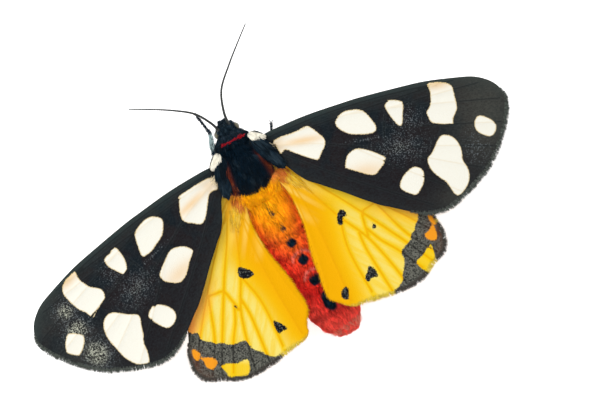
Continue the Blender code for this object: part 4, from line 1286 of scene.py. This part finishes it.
def wing_hair(wing, seed, patch, count, length, width, way, tint, start, up=1):
    """Long hair lying over a wing's root: patch is (x, y, reach along x, reach along y)."""
    rng = np.random.default_rng(SEED + seed)
    x, y, reach_x, reach_y = patch
    spots = np.stack([x + reach_x * rng.normal(0.0, 0.5, count),
                      y + reach_y * rng.normal(0.0, 0.5, count)], axis=1)
    spots = spots[signed_distance(spots, wing.outline) > 0.05]
    number = len(spots)
    turns = math.radians(way) + rng.normal(0.0, 0.16, number)
    ways = np.stack([np.cos(turns), np.sin(turns)], axis=1)
    lengths = length * rng.uniform(0.6, 1.2, number)
    lifts = rng.uniform(0.03, 0.1, number)
    spine = []
    for share, rise in zip(TUFT_SHARES, TUFT_RISES):
        here = wing.face(spots + ways * (lengths * share)[:, None], up)
        here[:, 2] += up * lifts * rise
        spine.append(here)
    spine, _ = clumped(np.stack(spine, axis=1), rng, 0.5)
    tints = repeated(tint, spots, rng.uniform(0.8, 1.2, number)) * TUFT_SHADES[:, None]
    widths = width * rng.uniform(0.7, 1.2, number)
    return wing_tufts(spots, spine, (0.0, 0.0, up), widths, tints, start)


def forewing_fields(side, fore):
    def fields(spots):
        margin = signed_distance(spots, fore.outline)
        return {"pale": largest_distance(spots, FOREWING_PALE[side]),
                "warm": soft_patches(spots, FOREWING_WARM),
                "speckle": soft_patches(spots, FOREWING_SPECKLE[side]),
                "smoke": soft_patches(spots, FOREWING_SMOKE[side]),
                "brown": 0.8 * fade(spots[:, 1], -1.5, -5.5),
                # rim: where the painted sheen lies, near the margins and most towards the costa
                "rim": (0.75 * np.exp(-np.maximum(margin, 0.0) / 0.7)
                        * np.clip((spots[:, 1] + 0.5) / 1.5, 0.25, 1.0))}
    return fields


def hindwing_dark(side, spots):
    """Distances inside all dark markings, and inside the free spots alone."""
    band = largest_distance(spots, [HINDWING_BAND[side]])
    light = largest_distance(spots, HINDWING_ORANGE[side] + [HINDWING_YELLOW[side]])
    free = largest_distance(spots, HINDWING_SPOTS[side])
    return np.maximum(np.minimum(band, -light), free), free


def inner_distance(spots):
    return line_distance(spots, smooth_route(HINDWING_INNER_EDGE, 4))


def hindwing_fields(side, hind, fore):
    def fields(spots):
        dark, free = hindwing_dark(side, spots)
        x = spots[:, 0]
        front = np.column_stack(fore.plan(fore.outline))
        clear = -signed_distance(np.column_stack(hind.plan(spots)), front)
        # beside is 1 at the forewing's edge and 0 past the strip that its shadow darkens; it sets the
        # painted light there and, further out, a warmer colour
        beside = fade(clear, HINDWING_SHADE_REACH, 0.0)
        warm = HINDWING_FRONT_WARM[side] * beside * fade(x, 8.0, 12.0)
        return {"dark": dark, "free": free,
                "orange": largest_distance(spots, HINDWING_ORANGE[side]),
                "beside": HINDWING_PAINTED_LIGHT[side] * beside,
                "warm": np.maximum(soft_patches(spots, HINDWING_WARM[side]), warm),
                "brown": soft_patches(spots, HINDWING_BROWN),
                "pale": (HINDWING_PALENESS[side]
                         * np.clip((x - HINDWING_PALE_FROM[side]) / 8.0, 0.25, 1.0)
                         * np.clip((17.4 - x) / 0.6, 0.15, 1.0)
                         * np.clip(clear / HINDWING_DEEP_REACH[side], 0.05, 1.0)),
                "root": 0.5 * fade(x, 6.5, 2.5),
                "inner": inner_distance(spots)}
    return fields


def hind_fringe_tint(side):
    """The colour of the hindwing's edge, dark where a dark marking reaches it."""
    def tint(spots):
        dark, _ = hindwing_dark(side, spots)
        share = (inner_distance(spots) - 1.0) / 2.5
        light = blend(colour(252, 184, 14), colour(255, 226, 84), share)
        return blend(light, colour(84, 80, 74), (dark + 0.1) / 0.2)
    return tint


def mottled(seed, first, second, gain, power):
    """Colours drawn between two."""
    def tint(spots):
        share = np.random.default_rng(SEED + seed).uniform(size=len(spots))
        return gain * blend(first, second, share ** power)
    return tint


def add_wings(fur):
    """Membranes with their markings, and the fringes along their margins."""
    fore_material, hind_material = forewing_paint(), hindwing_paint()
    fore_tint = colour(92, 98, 92)
    root_tint = mottled(5, colour(254, 200, 14), colour(255, 226, 110), 1.4, 2)
    rust_tint = mottled(6, colour(214, 96, 50), colour(248, 160, 60), 1.3, 1)
    cream_tint = 1.4 * colour(254, 236, 200)
    for index, side in enumerate(SIDES):
        fore = Wing(side, FOREWING_HINGE[side], FOREWING_SWEEP, 0.0, FOREWING_OUTLINE,
                    FOREWING_VEINS)
        name = f"wing_fore_{side}"
        add_piece(name, fore.mesh(name, FOREWING_FRINGE, forewing_fields(side, fore)),
                  fore_material, (f"forewing_{side}",))
        hind = Wing(side, HINDWING_HINGE[side], HINDWING_SWEEP, HINDWING_DROP,
                    HINDWING_OUTLINE[side], HINDWING_VEINS)
        name = f"wing_hind_{side}"
        add_piece(name, hind.mesh(name, HINDWING_FRINGE, hindwing_fields(side, hind, fore)),
                  hind_material, (f"hindwing_{side}",))
        hind_tint = hind_fringe_tint(side)
        add_piece(f"fringe_{side}", tuft_mesh(f"fringe_{side}", [
            wing_fringe(fore, 40 + index, FOREWING_FRINGE, 0.58, 0.05, 0.008, fore_tint, 0.0,
                        vary=0.45),
            wing_fringe(hind, 50 + index, HINDWING_FRINGE, 0.6, 0.05, 0.0085, hind_tint, 0.5),
            wing_fringe(hind, 60 + index, HINDWING_INNER_FRINGE, 0.6, 0.04, 0.02, hind_tint, 0.5,
                        slant=-1.2),
            wing_hair(hind, 80 + index, (0.8, -0.4, 1.4, 0.5), 300, 1.8, 0.04, -14, root_tint, 0.5),
            wing_hair(hind, 82 + index, (0.0, -0.5, 0.7, 0.6), 300, 1.2, 0.05, -20, rust_tint, 0.5),
            wing_hair(hind, 84 + index, (1.2, -0.6, 1.6, 0.8), 500, 1.5, 0.07, -30, rust_tint, 0.5,
                      up=-1),
            wing_hair(fore, 86 + index, (-0.5, -0.7, 0.4, 0.5), 110, 0.5, 0.05, -8, cream_tint, 0.0),
        ]), fur)


def add_eyes():
    material = eye_paint()
    for side, place in EYE_AT.items():
        shape = bmesh.new()
        bmesh.ops.create_uvsphere(shape, u_segments=48, v_segments=32, radius=EYE_RADIUS,
                                  matrix=Matrix.Translation(Vector(to_row(place))))
        mesh = mesh_of(shape, f"eyeball_{side}")
        to_metres(mesh)
        add_piece(f"eyeball_{side}", mesh, material, (f"eye_{side}",))


def add_antennae():
    material = shell_paint()
    for side, line in ANTENNA_LINES.items():
        route = to_row(smooth_route(line, 48))
        t = np.linspace(0.0, 1.0, len(route))
        radii = ANTENNA_RADII[0] + (ANTENNA_RADII[1] - ANTENNA_RADII[0]) * t
        radii *= 1.0 - 0.14 * np.sin(np.pi * ANTENNA_RINGS * t) ** 2
        radii *= np.where(t < 0.03, 1.35, 1.0)
        mesh = loft_mesh(f"feeler_{side}", [(route_form(route, radii, radii), 12)])
        to_metres(mesh)
        add_piece(f"feeler_{side}", mesh, material, (f"antenna_{side}",))


def add_coat(name, material, slot, *batches):
    add_piece(name, tuft_mesh(name, batches), material)


def add_back(fur, round_forms):
    """Fur of the thorax and the waist."""
    thorax, waist = round_forms["thorax"], round_forms["waist"]

    def keep(places):
        back = (places[:, 1] < -2.0) & (places[:, 2] < 6.6)
        return np.where(back, 0.1, np.where(places[:, 2] < 5.2, 0.45, 1.0))

    def outwards(places):
        """Turns the tufts beside the back outwards a little."""
        return -0.1 * (places[:, 0] - THORAX_MIDDLE) * np.sign(places[:, 2] - 5.0)

    def at_sides(places):
        return (places[:, 2] > 6.0) & (np.abs(places[:, 0] - WAIST_MIDDLE) > 1.3)

    add_coat(
        "coat_thorax", fur, "black_fur",
        grow(thorax, 12000, 1, 2.2, 0.08, 0.42, thorax_colour, keep=keep, low=0.06, high=0.96,
             spread=0.16, lean=outwards, straight=0.42, clump=0.6, vary=0.35),
        # Blue-grey tufts: painted sheen on the black fur
        grow(thorax, 1500, 5, 1.8, 0.06, 0.5, BLUE_GREY_SHEEN, keep=keep, low=0.06, high=0.8,
             spread=0.16, lean=outwards, straight=0.4, clump=0.7, shade=0.8),
        grow(thorax, 7000, 6, 1.1, 0.06, 0.5, strip_colour, keep=strip_share, low=0.1, high=0.9,
             spread=0.24, straight=0.35, clump=0.85, shade=1.15, vary=0.4))
    add_coat(
        "coat_waist", fur, "red_fur",
        grow(waist, 4600, 2, 2.6, 0.08, 0.3, waist_colour, keep=lambda places: places[:, 2] > 5.6,
             low=0.2, high=0.97, spread=0.24, straight=0.5, clump=0.6, shade=1.7),
        grow(waist, 1700, 3, 2.0, 0.065, 0.5, waist_colour, keep=at_sides, low=0.2, high=0.95,
             spread=0.4, lean=lambda places: -0.35 * (places[:, 0] - WAIST_MIDDLE),
             straight=0.8, clump=0.65, shade=1.5))


def add_shoulders(fur, tegulae, patches, round_forms):
    """Fur of the tegulae with the cream patches, and of the collar."""
    collar, between = round_forms["collar"], round_forms["between"]

    def tegula_length(places):
        return np.clip(places[:, 1] + 1.9, 0.5, 2.2)

    def collar_length(places):
        return np.where(places[:, 1] < 3.1, 2.3, 0.8)

    def in_band(places):
        """Where the crimson band runs across the collar."""
        across = (places[:, 0] > -0.95) & (places[:, 0] < 1.4)
        return across & (places[:, 2] > 6.7) & (places[:, 1] < 3.5)

    coat = []
    for index, side in enumerate(SIDES):
        coat += [
            grow(tegulae[index], 3400, 10 + index, tegula_length, 0.065, 0.12, TEGULA_BLACK,
                 high=0.96, spread=0.12, straight=0.6, clump=0.85, vary=0.4),
            # Blue-grey tufts: painted sheen on the black fur
            grow(tegulae[index], 700, 16 + index, tegula_length, 0.05, 0.16, BLUE_GREY_SHEEN,
                 high=0.8, spread=0.12, straight=0.7, clump=0.85),
            grow(patches[index], 1500, 14 + index, 0.75, 0.07, 0.14, patch_colour(side),
                 high=0.85, spread=0.2, straight=0.5, clump=0.6, shade=1.42, vary=0.05),
        ]
    add_coat("coat_tegulae", fur, "black_fur", *coat)
    add_coat(
        "coat_collar", fur, "black_fur",
        grow(collar, 5200, 20, collar_length, 0.075, 0.26, BLACK, high=0.8, straight=0.55,
             lean=lambda places: -0.2 * places[:, 0], clump=0.65, vary=0.35),
        # Blue-grey tufts: painted sheen on the black fur
        grow(collar, 500, 25, collar_length, 0.06, 0.3, BLUE_GREY_SHEEN, high=0.8, straight=0.55,
             clump=0.75, shade=0.8),
        grow(between, 3200, 24, 2.0, 0.075, 0.34, thorax_colour,
             keep=lambda places: places[:, 2] > 6.4, low=0.1, high=0.9, spread=0.18,
             straight=0.4, clump=0.6, vary=0.35),
        grow(collar, 700, 27, 0.8, 0.07, 0.25, HEAD_BLACK, low=0.1, high=0.5, straight=0.9,
             clump=0.8, backwards=-1.0, vary=0.35),
        grow(collar, 700, 21, 0.42, 0.05, 0.42, CRIMSON, keep=in_band, low=0.42, high=0.452,
             spread=0.14, lean=1.5, straight=0.1, clump=0.0, shade=1.15, vary=0.4))


def add_head(fur, palps, round_forms):
    head = round_forms["head"]

    def off_eyes(places):
        away = np.min([np.linalg.norm(places - eye, axis=1) for eye in EYE_AT.values()], axis=0)
        return away > EYE_RADIUS * 1.15

    add_coat(
        "coat_head", fur, "black_fur",
        grow(head, 4000, 22, 0.5, 0.06, 0.2, HEAD_BLACK, keep=off_eyes, spread=0.5,
             straight=0.6, clump=0.65, vary=0.4),
        # Blue-grey tufts: painted sheen on the black fur
        grow(head, 900, 29, 0.5, 0.055, 0.24, BLUE_GREY_SHEEN, keep=off_eyes, spread=0.5,
             straight=0.7, clump=0.75, shade=1.2),
        grow(round_forms["neck"], 1800, 28, 0.8, 0.07, 0.22, HEAD_BLACK, high=0.8, spread=0.3,
             straight=0.5, clump=0.6, vary=0.35),
        grow(head, 220, 26, 0.5, 0.07, 0.35, HEAD_BLACK, low=0.02, high=0.15, spread=0.6,
             straight=0.9, clump=0.7, backwards=-1.0),
        *[grow(form, 500, 23 + index, 0.3, 0.05, 0.07, HEAD_BLACK, spread=0.3, straight=0.6)
          for index, form in enumerate(palps)])


def add_abdomen(fur, abdomen):
    def length(places):
        long = 1.1 + fade(places[:, 1], -8.0, -5.5)
        return np.where(spot_share(places) > 0.3, 0.5, long)

    for index, (low, high, shade) in enumerate(((0.1, 0.5, 1.6), (0.5, 0.97, 1.4))):
        add_coat(f"coat_abdomen_{index + 1}", fur, "red_fur",
                 grow(abdomen, 11500, 30 + index, length, 0.08, 0.24, abdomen_colour, low=low,
                      high=high, spread=0.26, straight=0.3, clump=0.65, shade=shade))
    add_coat(
        "coat_tail", fur, "red_fur",
        grow(abdomen, 3400, 34, 1.2, 0.08, 0.35, abdomen_colour, low=0.84, high=0.995,
             spread=0.45, straight=0.85, clump=0.8, shade=1.35, vary=0.4),
        grow(abdomen, 500, 35, 1.3, 0.05, 0.42, TAIL_PINK, low=0.8, high=0.98, spread=0.45,
             straight=0.85, clump=0.8, shade=1.2))


def add_legs(fur, legs):
    def length(places):
        return np.select([places[:, 2] < 1.3, places[:, 2] < 3.6], [0.16, 0.5], 0.6)

    add_coat(
        "coat_legs", fur, "black_fur",
        *[grow(form, 1100, 70 + index, length, 0.055, 0.09, leg_colour(form), low=0.12,
               high=0.98, spread=0.26, straight=0.65, clump=0.4, shade=1.4)
          for index, form in enumerate(legs)],
        claws(legs))


def add_body(fur):
    """One skin over all flesh, and the coats on it."""
    round_forms = {name: ellipsoid_form(place, radii)
                   for name, (place, radii, _) in ROUND_FORMS.items()}
    abdomen = abdomen_form()
    tegulae, patches, palps = ([make(side) for side in SIDES]
                               for make in (tegula_form, patch_form, palp_form))
    legs = [leg_form(name, index) for index, name in enumerate(LEG_LINES)]
    forms = [(round_forms[name], sides) for name, (_, _, sides) in ROUND_FORMS.items()]
    forms += [(abdomen, 40)]
    forms += [(form, 20) for form in tegulae + patches]
    forms += [(form, 14) for form in palps + legs]
    nodes = ["thorax", "collar", "head", "abdomen", "tegula_left", "tegula_right",
             "palp_left", "palp_right", *LEG_LINES]
    add_piece("skin", skin_mesh(forms), skin_paint(), nodes)
    add_back(fur, round_forms)
    add_shoulders(fur, tegulae, patches, round_forms)
    add_head(fur, palps, round_forms)
    add_abdomen(fur, abdomen)
    add_legs(fur, legs)


def add_stage():
    """A plain pale floor, soft light all round and one broad lamp."""
    mesh = bpy.data.meshes.new("floor")
    corners = [(x * FLOOR_REACH, y * FLOOR_REACH, 0) for x, y in ((-1, -1), (1, -1), (1, 1), (-1, 1))]
    mesh.from_pydata(corners, [], [(0, 1, 2, 3)])
    mesh.materials.append(floor_paint())
    floor = add_object("floor", mesh)

    world = bpy.data.worlds.new("studio")
    bpy.context.scene.world = world
    world.use_nodes = True
    sky = world.node_tree.nodes["Background"]
    sky.inputs["Color"].default_value = (1, 1, 1, 1)
    sky.inputs["Strength"].default_value = 1.0

    lamp = bpy.data.lights.new("lamp", "AREA")
    lamp.size = LAMP_SIZE
    lamp.energy = LAMP_POWER
    holder = add_object("lamp", lamp)
    holder.location = LAMP_AT
    holder.rotation_mode = "QUATERNION"
    holder.rotation_quaternion = (-holder.location).to_track_quat("-Z", "Y")
    holder.visible_camera = False


def add_camera():
    """Looks straight down with the photograph's turn and framing."""
    data = bpy.data.cameras.new("camera")
    data.lens = LENS
    data.sensor_width = SENSOR
    data.clip_start, data.clip_end = CLIP_RANGE
    camera = add_object("camera", data)
    target = Vector(to_row(IMAGE_CENTRE)) * MM
    distance = PHOTO_SIZE[0] * PIXEL * MM * LENS / SENSOR
    back = IMAGE_RIGHT.cross(IMAGE_UP)
    turn = Matrix((IMAGE_RIGHT, IMAGE_UP, back)).transposed()
    camera.matrix_world = Matrix.Translation(target + back * distance) @ turn.to_4x4()
    bpy.context.scene.camera = camera


def main():
    add_camera()
    add_stage()
    fur = fur_paint()
    add_wings(fur)
    add_eyes()
    add_antennae()
    add_body(fur)
    bpy.context.scene.view_settings.view_transform = "Standard"


main()
